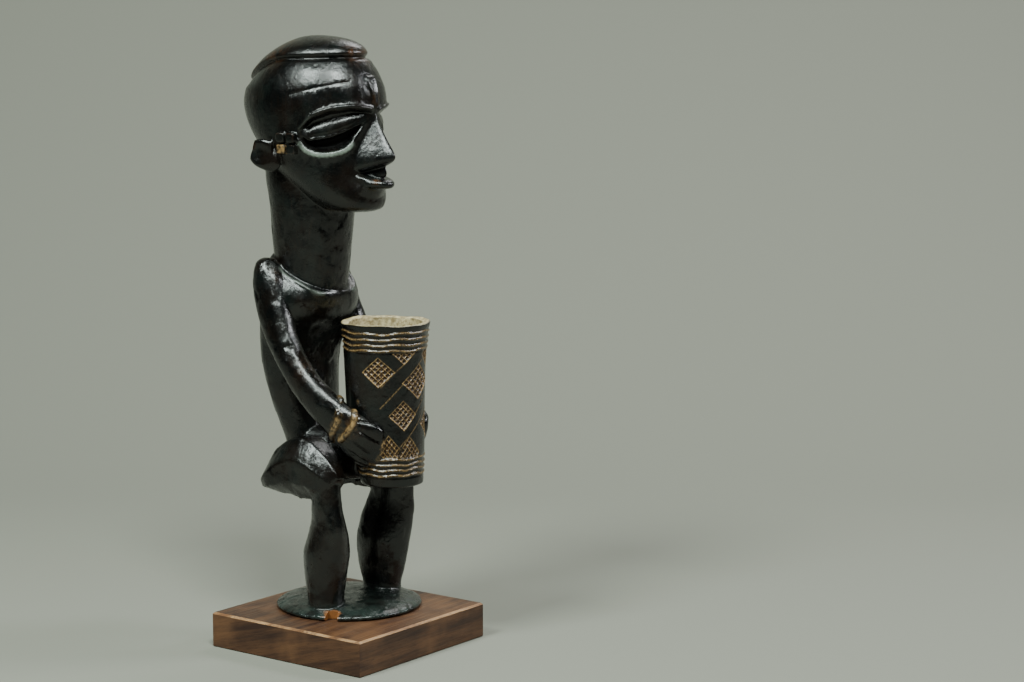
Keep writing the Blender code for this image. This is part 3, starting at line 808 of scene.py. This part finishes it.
def cutter_from(name, shape):
    bmesh.ops.recalc_face_normals(shape, faces=shape.faces)
    mesh = bpy.data.meshes.new(name)
    shape.to_mesh(mesh)
    shape.free()
    cutter = bpy.data.objects.new(name, mesh)
    bpy.context.collection.objects.link(cutter)
    cutter.location = (STAND[0], STAND[1], PLINTH_HEIGHT + SEAT_GAP)
    cutter.hide_render = True
    cutter.display_type = "WIRE"
    return cutter


def cup_cavity():
    """What is hollowed out of the cup: a tapered bore with a closed floor, open at the rim."""
    heights, middles, radii = np.array(CUP).T
    floor = CUP[0][0] + CUP_FLOOR / UNIT
    rings = []
    for z in (floor, CUP[-1][0], CUP[-1][0] + 10):
        y = np.interp(z, heights, middles)
        radius = np.interp(min(z, CUP[-1][0] - 5), heights, radii) - CUP_WALL / UNIT
        rings.append(ring(np.array((0.0, y, z)), np.array((radius, 0, 0)), np.array((0, radius, 0)), 2.0, 40))
    shape = bmesh.new()
    skin(shape, rings)
    return cutter_from("cup_cavity", shape)


def rim_notch():
    """The piece broken out of the round base's rim."""
    out = np.array((*NOTCH_AT, 0.0))
    out /= np.linalg.norm(out)
    along = np.array((-out[1], out[0], 0.0)) * NOTCH_WIDTH / 2
    rim = BASE[1][1]
    shape = bmesh.new()
    rings = []
    for z in (-5.0, 12.0):
        corners = []
        for reach, side in ((rim - NOTCH_REACH, 0.8), (rim + 6, 1.1), (rim + 6, -1.1), (rim - NOTCH_REACH, -0.8)):
            corners.append(out * reach + along * side + np.array((0.0, 0.0, z)))
        rings.append(corners)
    skin(shape, rings)
    return cutter_from("rim_notch", shape)


def applied(obj):
    """The object's mesh with its modifiers applied and removed."""
    bpy.context.view_layer.update()
    seen = obj.evaluated_get(bpy.context.evaluated_depsgraph_get())
    mesh = bpy.data.meshes.new_from_object(seen)
    obj.modifiers.clear()
    old = obj.data
    obj.data = mesh
    bpy.data.meshes.remove(old)
    return obj


def vertex_table(mesh, kind="co"):
    found = np.empty(len(mesh.vertices) * 3)
    if kind == "co":
        mesh.vertices.foreach_get("co", found)
    else:
        mesh.vertex_normals.foreach_get("vector", found)
    return found.reshape(-1, 3)


def displaced(mesh, heights):
    points = vertex_table(mesh) + vertex_table(mesh, "normal") * heights[:, None]
    mesh.vertices.foreach_set("co", points.ravel())
    mesh.update()


def thinned(obj, triangles):
    thin = obj.modifiers.new("thin", "DECIMATE")
    thin.ratio = min(1.0, triangles / sum(len(p.vertices) - 2 for p in obj.data.polygons))
    return applied(obj)


def edges_out(mesh):
    """How far each vertex stands out from its neighbours: above 0 on worn edges, below 0 in cuts."""
    ends = np.empty(len(mesh.edges) * 2, int)
    mesh.edges.foreach_get("vertices", ends)
    ends = ends.reshape(-1, 2)
    points, normals = vertex_table(mesh), vertex_table(mesh, "normal")
    run = points[ends[:, 1]] - points[ends[:, 0]]
    length = np.maximum(np.linalg.norm(run, axis=1), 1e-9)
    bend_a = -(run * normals[ends[:, 0]]).sum(1) / length
    bend_b = (run * normals[ends[:, 1]]).sum(1) / length
    total = np.zeros(len(points))
    count = np.zeros(len(points))
    for column, bend in ((0, bend_a), (1, bend_b)):
        np.add.at(total, ends[:, column], bend)
        np.add.at(count, ends[:, column], 1)
    out = total / np.maximum(count, 1)
    for _ in range(2):
        gathered = np.zeros(len(points))
        np.add.at(gathered, ends[:, 0], out[ends[:, 1]])
        np.add.at(gathered, ends[:, 1], out[ends[:, 0]])
        out = 0.5 * out + 0.5 * gathered / np.maximum(count, 1)
    return out


def store(mesh, name, values, limit=0):
    """A value at each vertex, from 0 to 1, or up to two over a larger limit and two under 0."""
    low, high = (-2, limit + 2) if limit else (0, 1)
    attribute = mesh.attributes.new(name, "FLOAT", "POINT")
    attribute.data.foreach_set("value", np.clip(values, low, high).astype(np.float32))


def paint(mesh):
    """Masks on the mesh for the wood's material: wear, hatching, pale lines, the sandy bore, worn bracelets, dark
    cuts with painted shade under the lids, and painted highlights on the ledges.
    """
    points = vertex_table(mesh)
    local = (points - np.array(SEAT)) / UNIT
    arc, z, off = cup_arc(local)
    normals = vertex_table(mesh, "normal")
    foot, rim = CUP[0][0], CUP[-1][0]
    near_cup = (np.abs(off) < 1.6) & (z > foot + 0.3) & (z < rim + 0.6)
    middle, radius = cup_profile(z)
    outward = normals[:, 0] * local[:, 0] + normals[:, 1] * (local[:, 1] - middle)
    outside = near_cup & (outward > 0)
    _, lines, sunk = field_masks(arc, z)
    ridge, _ = ring_masks(arc, z)
    wall = CUP_WALL / UNIT
    floor = foot + CUP_FLOOR / UNIT
    in_bore = (off < -2.2) & (off > -30) & (z > floor - 0.5) & (np.abs(local[:, 0]) < 30)
    in_bore &= (np.hypot(local[:, 0], local[:, 1] - middle) < radius - 2.2) & (z < rim + 1)
    on_rim = (z > rim - 1.0) & (z < rim + 1.0) & (off < -0.9) & (off > -wall - 3)
    place, border, lead = hatch_places(arc, z)
    store(mesh, "hatch_p", place[:, 0], HATCH_CELLS)
    store(mesh, "hatch_q", place[:, 1], HATCH_CELLS)
    zone = step(z, 100.6, 101.2) * (1 - step(z, 164.6, 165.2))
    store(mesh, "hatched", np.where(outside & (border > -0.45) & (lead > 0.45), zone, 0))
    store(mesh, "pale", np.where(outside, np.maximum(0.7 * lines * (sunk < 0.3), 0.75 * ridge), 0))
    store(mesh, "sand", (in_bore | on_rim).astype(float))
    out = edges_out(mesh)
    store(mesh, "worn", step(out, 0.16, 0.44))
    right = local.copy()
    right[:, 0] = -np.abs(right[:, 0])
    # Painted shade: the opening under the lid is painted black; the cuts are darkened too.
    angle, low, slit, top = eye_borders(right)
    opening = step(z, low + 0.2, low + 1.2) * (1 - step(z, slit - 0.9, slit + 0.1)) * (top - low > 3)
    opening *= (angle > 5) & (angle < 78) & (right[:, 1] < EYE_AXIS_Y)
    store(mesh, "dark_cuts_and_eye_shade", np.maximum(step(-out, 0.05, 0.3), opening))
    brown = np.zeros(len(local))
    for middle, reach, share in BROWNED:
        away = np.linalg.norm(right - np.array(middle), axis=1) / reach
        brown = np.maximum(brown, share * (1 - step(away, 0.4, 1.0)))
    store(mesh, "browned", brown)
    band = np.zeros(len(local))
    for line in (BRACELET_UP, BRACELET_LOW):
        near = distance_to_line(right, smooth_stations(line, 6)) / 2.2
        band = np.maximum(band, np.clip(1.2 - near, 0, 1))
    # The scar block that is rubbed through, and the bare wood in the notch of the base.
    block = np.abs(local[:, 1] - SCARS_Y[1]) < SCAR_HALF[1]
    block &= (np.abs(z - SCARS_Z[0]) < SCAR_HALF[2]) & (right[:, 0] < -33)
    out_of_notch = np.array(NOTCH_AT) / np.hypot(*NOTCH_AT)
    reach = local[:, :2] @ out_of_notch
    side = np.abs(local[:, 0] * out_of_notch[1] - local[:, 1] * out_of_notch[0])
    broken = (reach > BASE[1][1] - NOTCH_REACH - 0.3) & (side < NOTCH_WIDTH / 2 + 0.3) & (z < 8)
    store(mesh, "bracelet", np.maximum(band, 0.6 * block))
    store(mesh, "bare", broken.astype(float))
    # Painted highlight: where the rubbed ledges are painted pale grey-green.
    ledge_highlight = np.zeros(len(local))
    for line, half_width, share in ((LOW_RIM, 1.5, 1.0), (NECKLINE, 1.4, 0.4), (BROW, 1.0, 0.35)):
        near = distance_to_line(right, smooth_stations(line, 6)) / half_width
        ledge_highlight = np.maximum(ledge_highlight, share * np.clip(1.3 - near**2, 0, 1))
    store(mesh, "ledge_highlight", ledge_highlight)


def in_eye_openings(mesh):
    """1 for each face in the opening under a lid, else 0."""
    middles = np.empty(len(mesh.polygons) * 3)
    mesh.polygons.foreach_get("center", middles)
    right = (middles.reshape(-1, 3) - np.array(SEAT)) / UNIT
    right[:, 0] = -np.abs(right[:, 0])
    angle, low, slit, _ = eye_borders(right)
    z = right[:, 2]
    inside = (z > low + 0.9) & (z < slit - 0.1) & (angle > 5) & (angle < 78) & (right[:, 1] < EYE_AXIS_Y)
    return inside.astype(int)


def linear(code):
    """A hex sRGB colour as linear numbers."""
    values = [int(code[i : i + 2], 16) / 255 for i in (1, 3, 5)]
    return tuple(v / 12.92 if v <= 0.04045 else ((v + 0.055) / 1.055) ** 2.4 for v in values) + (1.0,)


def add(tree, kind, settings=None, links=None):
    """A node with its settings, and its inputs set to a value or linked to another node's output."""
    node = tree.nodes.new(kind)
    for name, value in (settings or {}).items():
        setattr(node, name, value)
    for name, value in (links or {}).items():
        if isinstance(value, bpy.types.NodeSocket):
            tree.links.new(value, node.inputs[name])
        else:
            node.inputs[name].default_value = value
    return node


def mix(tree, factor, low, high, blend="MIX"):
    node = tree.nodes.new("ShaderNodeMix")
    node.data_type = "RGBA"
    node.blend_type = blend
    for socket, value in ((node.inputs[0], factor), (node.inputs[6], low), (node.inputs[7], high)):
        if isinstance(value, bpy.types.NodeSocket):
            tree.links.new(value, socket)
        else:
            socket.default_value = value
    return node.outputs[2]


def math_node(tree, operation, a, b=0.0, clamp=False):
    node = tree.nodes.new("ShaderNodeMath")
    node.operation = operation
    node.use_clamp = clamp
    for socket, value in ((node.inputs[0], a), (node.inputs[1], b)):
        if isinstance(value, bpy.types.NodeSocket):
            tree.links.new(value, socket)
        else:
            socket.default_value = value
    return node.outputs[0]


def ramp(tree, value, low, high, out_low=0.0, out_high=1.0):
    node = add(
        tree,
        "ShaderNodeMapRange",
        {"clamp": True, "interpolation_type": "SMOOTHSTEP"},
        {"Value": value, "From Min": low, "From Max": high, "To Min": out_low, "To Max": out_high},
    )
    return node.outputs[0]


def noise(tree, where, per_metre, detail=3.0, rough=0.55, stretch=(1, 1, 1)):
    scaled = add(tree, "ShaderNodeMapping", links={"Vector": where, "Scale": stretch}).outputs[0]
    links = {"Vector": scaled, "Scale": per_metre, "Detail": detail, "Roughness": rough}
    return add(tree, "ShaderNodeTexNoise", links=links).outputs["Fac"]


def mask(tree, name):
    return add(tree, "ShaderNodeAttribute", {"attribute_name": name}).outputs["Fac"]


def new_material(name):
    made = bpy.data.materials.new(name)
    made.use_nodes = True
    return made, made.node_tree, made.node_tree.nodes["Principled BSDF"]


def eye_shade_wood():
    """Painted shade: the same blackened hardwood, dull and near black, put in the openings under the lids."""
    made, tree, shader = new_material("painted shade under the lids")
    where = add(tree, "ShaderNodeTexCoord").outputs["Object"]
    grain = noise(tree, where, 900, 3, 0.6, (1, 1, 0.07))
    colour = mix(tree, ramp(tree, grain, 0.45, 0.74, 0, 0.6), linear("#020202"), linear("#0b0805"))
    tree.links.new(colour, shader.inputs["Base Color"])
    shader.inputs["Roughness"].default_value = 0.6
    shader.inputs["Specular IOR Level"].default_value = 0.12
    return made


def blackened_wood():
    """Old oiled hardwood, blackened and rubbed glossy by hands: near black, browner where edges are rubbed, with
    painted sheen on the base and painted highlights on the ledges.
    """
    made, tree, shader = new_material("oiled blackened hardwood")
    where = add(tree, "ShaderNodeTexCoord").outputs["Object"]
    split = add(tree, "ShaderNodeSeparateXYZ", links={"Vector": where})
    # Clouds about 18 mm across: black with a warmer brown under it.
    cloud = noise(tree, where, 55, 4)
    colour = mix(tree, ramp(tree, cloud, 0.40, 0.66), linear("#040505"), linear("#0f0a07"))
    # Grain along the block's height, streaks about 1 mm wide.
    grain = noise(tree, where, 900, 3, 0.6, (1, 1, 0.07))
    colour = mix(tree, ramp(tree, grain, 0.52, 0.74, 0, 0.45), colour, linear("#1a110b"))
    # A faint grey-green bloom of old polish in patches all over, and painted sheen: grey-green painted over the base
    # above all.
    low = ramp(tree, split.outputs[2], 0.034, 0.020)
    bloom = math_node(tree, "MULTIPLY", ramp(tree, noise(tree, where, 75, 5), 0.46, 0.66), 0.06)
    painted_base_sheen = math_node(tree, "MULTIPLY", low, ramp(tree, noise(tree, where, 120, 5), 0.36, 0.62, 0.1, 0.55))
    colour = mix(tree, math_node(tree, "ADD", bloom, painted_base_sheen, True), colour, linear("#33423d"))
    # Rubbed edges: orange brown wood shows through in patches.
    patch = ramp(tree, noise(tree, where, 140, 4), 0.42, 0.60)
    worn = math_node(tree, "MULTIPLY", mask(tree, "worn"), patch)
    colour = mix(tree, math_node(tree, "MULTIPLY", worn, 0.7), colour, linear("#5c3a24"))
    # Painted highlight: pale grey-green sheen painted on the rubbed ledges: the eye's rim, the brow and the neckline.
    patches = ramp(tree, noise(tree, where, 210, 4), 0.25, 0.6, 0.3, 0.8)
    painted_highlight = math_node(tree, "MULTIPLY", mask(tree, "ledge_highlight"), patches)
    colour = mix(tree, painted_highlight, colour, linear("#838d82"))
    # Places that are rubbed through to brown.
    through = ramp(tree, noise(tree, where, 260, 5, 0.65), 0.40, 0.62)
    colour = mix(tree, math_node(tree, "MULTIPLY", mask(tree, "browned"), through), colour, linear("#432a17"))
    # Darker in the cuts, and painted shade: the opening under each lid painted black.
    colour = mix(tree, math_node(tree, "MULTIPLY", mask(tree, "dark_cuts_and_eye_shade"), 0.75), colour, linear("#030303"))
    # Tan bracelets, rubbed through to the wood.
    rubbed_off = ramp(tree, noise(tree, where, 420, 4), 0.36, 0.60, 0.12, 0.9)
    band = math_node(tree, "MULTIPLY", mask(tree, "bracelet"), rubbed_off)
    colour = mix(tree, band, colour, linear("#a38357"))
    colour = mix(tree, mask(tree, "bare"), colour, linear("#7a4c27"))
    # Ochre in the pits of the hatching and pale clay on its lines.
    speck = noise(tree, where, 900, 3)
    ochre = mix(tree, ramp(tree, speck, 0.38, 0.62), linear("#100a06"), linear("#4a2f15"))
    pale = mix(tree, ramp(tree, speck, 0.35, 0.65), linear("#503921"), linear("#a58657"))
    # The hatching: cells cut down to ochre, between thin pale walls, inside a pale outline.
    walls, borders = [], []
    for name in ("hatch_p", "hatch_q"):
        cells = mask(tree, name)
        walls.append(math_node(tree, "PINGPONG", cells, 0.5))
        borders.extend((cells, math_node(tree, "SUBTRACT", float(HATCH_CELLS), cells)))
    in_cell = ramp(tree, math_node(tree, "MINIMUM", *walls), 0.06, 0.13)
    border = math_node(
        tree, "MINIMUM", math_node(tree, "MINIMUM", *borders[:2]), math_node(tree, "MINIMUM", *borders[2:])
    )
    inside = math_node(tree, "MULTIPLY", ramp(tree, border, -0.16, -0.06), mask(tree, "hatched"))
    colour = mix(tree, inside, colour, pale)
    pits = math_node(tree, "MULTIPLY", math_node(tree, "MULTIPLY", in_cell, ramp(tree, border, 0.01, 0.10)), inside)
    colour = mix(tree, pits, colour, ochre)
    colour = mix(tree, mask(tree, "pale"), colour, pale)
    # Dry sandy wood inside the cup and on its rim.
    sand_speck = noise(tree, where, 420, 5, 0.65)
    sand = mix(tree, ramp(tree, sand_speck, 0.34, 0.66), linear("#7b6a48"), linear("#bcae88"))
    colour = mix(tree, mask(tree, "sand"), colour, sand)
    tree.links.new(colour, shader.inputs["Base Color"])
    rough = ramp(tree, noise(tree, where, 95, 5), 0.32, 0.68, 0.17, 0.31)
    dry = math_node(tree, "ADD", mask(tree, "sand"), math_node(tree, "MULTIPLY", inside, 0.6), True)
    rough = math_node(tree, "ADD", rough, math_node(tree, "MULTIPLY", dry, 0.45), True)
    tree.links.new(rough, shader.inputs["Roughness"])
    shader.inputs["Specular IOR Level"].default_value = 0.42
    shader.inputs["Coat Weight"].default_value = 0.2
    shader.inputs["Coat Roughness"].default_value = 0.22
    # Bumps: scratches along the grain, and pores under half a millimetre.
    pores = noise(tree, where, 2200, 3, 0.6, (1, 1, 0.25))
    scratches = noise(tree, where, 600, 4, 0.7, (1, 1, 0.12))
    # Dents about 3 mm across, which break up the highlights.
    dents = math_node(tree, "MULTIPLY", noise(tree, where, 330, 3, 0.6), 1.5)
    bumps = math_node(tree, "ADD", math_node(tree, "MULTIPLY", pores, 0.35), math_node(tree, "ADD", scratches, dents))
    bump = add(tree, "ShaderNodeBump", links={"Strength": 0.38, "Distance": 0.0006, "Height": bumps})
    tree.links.new(bump.outputs["Normal"], shader.inputs["Normal"])
    return made


def plinth_wood(name, light, dark, bare=False):
    """Red-brown hardwood board with its grain along X: dark pore streaks on a warm ground."""
    made, tree, shader = new_material(name)
    place = add(tree, "ShaderNodeTexCoord")
    faces = add(tree, "ShaderNodeSeparateXYZ", links={"Vector": place.outputs["Normal"]})
    ends = ramp(tree, math_node(tree, "ABSOLUTE", faces.outputs[0]), 0.6, 0.8)
    # On the two end faces the streaks run slightly aslant, as the board's edge was sanded.
    turned = add(tree, "ShaderNodeMapping", links={"Vector": place.outputs["Object"], "Rotation": (0.25, 0, 1.5708)})
    where = mix(tree, ends, place.outputs["Object"], turned.outputs[0])
    # Growth bands about 6 mm apart, drawn out along the board.
    bands = noise(tree, where, 170, 4, 0.6, (0.08, 1, 1))
    streaks = noise(tree, where, 1100, 4, 0.65, (0.035, 1, 1))
    pores = noise(tree, where, 2600, 2, 0.5, (0.06, 1, 1))
    colour = mix(tree, ramp(tree, bands, 0.34, 0.66), linear(dark), linear(light))
    colour = mix(tree, ramp(tree, streaks, 0.50, 0.70, 0, 0.55), colour, linear("#2c120a"))
    colour = mix(tree, ramp(tree, pores, 0.58, 0.70, 0, 0.7), colour, linear("#1d0b06"))
    cloud = noise(tree, where, 30, 3)
    colour = mix(tree, ramp(tree, cloud, 0.45, 0.7, 0, 0.35), colour, linear("#7d5739"))
    tree.links.new(colour, shader.inputs["Base Color"])
    rough = ramp(tree, streaks, 0.3, 0.7, 0.36, 0.56)
    tree.links.new(rough, shader.inputs["Roughness"])
    shader.inputs["Specular IOR Level"].default_value = 0.45
    bumps = math_node(tree, "ADD", pores, math_node(tree, "MULTIPLY", streaks, 0.6))
    bump = add(tree, "ShaderNodeBump", links={"Strength": 0.3, "Distance": 0.0003, "Height": bumps})
    tree.links.new(bump.outputs["Normal"], shader.inputs["Normal"])
    return made


def relax_sockets(body):
    """Evens the mesh on the steep walls of the eye sockets."""
    right = vertex_table(body.data) / UNIT
    right[:, 0] = -np.abs(right[:, 0])
    angle, low, _, top = eye_borders(right)
    near = (right[:, 2] > low - 3) & (right[:, 2] < top + 2) & (angle > 3) & (angle < 82) & (right[:, 1] < EYE_AXIS_Y)
    group = body.vertex_groups.new(name="sockets")
    group.add(np.nonzero(near)[0].tolist(), 1.0, "REPLACE")
    soften = body.modifiers.new("sockets", "SMOOTH")
    soften.factor = 0.5
    soften.iterations = 5
    soften.vertex_group = group.name
    applied(body)
    body.vertex_groups.clear()


def carved_figure(wood, eye_shade_material):
    body = bpy.data.objects.new("carved_figure", body_shells())
    bpy.context.collection.objects.link(body)
    blend = body.modifiers.new("blend", "REMESH")
    blend.mode = "VOXEL"
    blend.voxel_size = BODY_VOXEL * UNIT
    soften = body.modifiers.new("soften", "SMOOTH")
    soften.factor = 0.5
    soften.iterations = 6
    applied(body)
    displaced(body.data, body_relief(vertex_table(body.data) / UNIT) * UNIT)
    relax_sockets(body)
    thinned(body, BODY_TRIANGLES)
    cup = bpy.data.objects.new("cup_form", cup_shell())
    bpy.context.collection.objects.link(cup)
    cavity = cup_cavity()
    notch = rim_notch()
    for helper in (cavity, notch):
        helper.location = (0, 0, 0)
    # The bore is cut from the body first, so nothing of the body is left inside the cup.
    steps = (("bore", cavity, "DIFFERENCE"), ("notch", notch, "DIFFERENCE"), ("cup", cup, "UNION"))
    for name, other, operation in steps:
        cut = body.modifiers.new(name, "BOOLEAN")
        cut.operation = operation
        cut.solver = "EXACT"
        cut.object = other
    applied(body)
    for helper in (cavity, notch, cup):
        bpy.data.objects.remove(helper, do_unlink=True)
    mesh = body.data
    points = vertex_table(mesh) + np.array(SEAT)
    mesh.vertices.foreach_set("co", points.ravel())
    mesh.update()
    paint(mesh)
    mesh.materials.clear()
    mesh.materials.append(wood)
    mesh.materials.append(eye_shade_material)
    # Painted shade: the faces in the openings under the lids take the dull near-black wood.
    mesh.polygons.foreach_set("material_index", in_eye_openings(mesh))
    bpy.ops.object.select_all(action="DESELECT")
    body.select_set(True)
    bpy.context.view_layer.objects.active = body
    bpy.ops.object.shade_smooth_by_angle(angle=math.radians(50))
    print("figure triangles", sum(len(p.vertices) - 2 for p in mesh.polygons))
    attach(body, "root")
    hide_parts("figure")
    return body


def plinth_board(wood, edge_wood):
    bpy.ops.object.select_all(action="DESELECT")
    bpy.ops.mesh.primitive_cube_add(size=1.0, location=(0, 0, PLINTH_HEIGHT / 2))
    board = bpy.context.active_object
    board.name = "plinth_board"
    board.scale = (PLINTH_SIDE, PLINTH_SIDE, PLINTH_HEIGHT)
    bpy.ops.object.transform_apply(location=True, rotation=True, scale=True)
    board.data.materials.append(wood)
    board.data.materials.append(edge_wood)
    bpy.ops.object.mode_set(mode="EDIT")
    shape = bmesh.from_edit_mesh(board.data)
    for edge in shape.edges:
        edge.select_set(all(v.co.z > PLINTH_HEIGHT / 2 for v in edge.verts))
    bmesh.update_edit_mesh(board.data)
    bpy.ops.mesh.bevel(offset=PLINTH_CHAMFER, segments=1, affect="EDGES", material=1)
    shape = bmesh.from_edit_mesh(board.data)
    for edge in shape.edges:
        run = edge.verts[1].co - edge.verts[0].co
        edge.select_set(abs(run.z) > PLINTH_HEIGHT / 2)
    bmesh.update_edit_mesh(board.data)
    bpy.ops.mesh.bevel(offset=0.0004, segments=2, affect="EDGES", material=0)
    bpy.ops.object.mode_set(mode="OBJECT")
    bpy.ops.object.shade_smooth_by_angle(angle=math.radians(20))
    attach(board, "root")
    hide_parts("plinth")
    return board


def backdrop(made):
    """A sheet of paper: level under the figure, then curved up into a wall behind it."""
    away = Vector((0.7992, 0.6011, 0.0))
    across = Vector((0.6011, -0.7992, 0.0))
    profile = [(-3.0, -0.0005), (0.45, -0.0005)]
    for step_number in range(1, 13):
        turn = math.pi / 2 * step_number / 12
        profile.append((0.45 + 0.5 * math.sin(turn), 0.5 * (1 - math.cos(turn)) - 0.0005))
    profile.append((0.95, 3.5))
    points = [away * reach + across * side + Vector((0, 0, z)) for reach, z in profile for side in (-4.0, 4.0)]
    faces = [(2 * i, 2 * i + 1, 2 * i + 3, 2 * i + 2) for i in range(len(profile) - 1)]
    mesh = bpy.data.meshes.new("backdrop")
    mesh.from_pydata(points, [], faces)
    mesh.materials.append(made)
    mesh.polygons.foreach_set("use_smooth", [True] * len(faces))
    sheet = bpy.data.objects.new("backdrop", mesh)
    bpy.context.collection.objects.link(sheet)
    return sheet


def stage_setting():
    """Pale paper that sweeps up behind, a soft key above the camera, and lights from both sides."""
    made, _, shader = new_material("pale paper")
    shader.inputs["Base Color"].default_value = linear("#7f7f75")
    shader.inputs["Roughness"].default_value = 0.9
    backdrop(made)
    lights = (
        ("key", (-0.62, -0.75, 1.55), 0.45, 34.0, (0.90, 1.0, 0.95)),
        ("left", (-1.00, 0.10, 1.35), 0.4, 30.0, (0.88, 1.0, 0.94)),
        ("right", (0.85, -0.95, 0.95), 0.3, 12.0, (0.95, 0.98, 1.0)),
        ("rim", (0.95, 0.25, 1.1), 0.5, 6.0, (1.0, 1.0, 1.0)),
    )
    for name, place, size, power, colour in lights:
        data = bpy.data.lights.new(name, "AREA")
        data.size = size
        data.energy = power
        data.color = colour
        lamp = bpy.data.objects.new(name, data)
        lamp.location = place
        lamp.rotation_euler = (Vector((0, 0, 0.2)) - Vector(place)).to_track_quat("-Z", "Y").to_euler()
        bpy.context.collection.objects.link(lamp)
    world = bpy.data.worlds.new("soft room")
    world.use_nodes = True
    world.node_tree.nodes["Background"].inputs[0].default_value = linear("#c9cbc8")
    world.node_tree.nodes["Background"].inputs[1].default_value = 0.04
    bpy.context.scene.world = world


def photo_camera():
    data = bpy.data.cameras.new("camera")
    data.sensor_width = 36
    data.lens = 84.375
    data.clip_start = 0.01
    camera = bpy.data.objects.new("camera", data)
    bpy.context.collection.objects.link(camera)
    right = Vector((0.6011314841568248, -0.7991501353033815, 0.0))
    up = Vector((0.1109365338662932, 0.08344795339982283, 0.9903178906427541))
    back = -Vector((0.7914126763005164, 0.5953112633891349, -0.13881813812642144))
    turn = Matrix((right, up, back)).transposed().to_4x4()
    camera.matrix_world = Matrix.Translation((-1.1098790, -0.9627407, 0.3952144)) @ turn
    bpy.context.scene.camera = camera


carved_figure(blackened_wood(), eye_shade_wood())
plinth_board(
    plinth_wood("oiled red-brown hardwood", "#553823", "#2f1b12"),
    plinth_wood("worn chamfer of the board", "#ac8660", "#704b2e"),
)
stage_setting()
photo_camera()
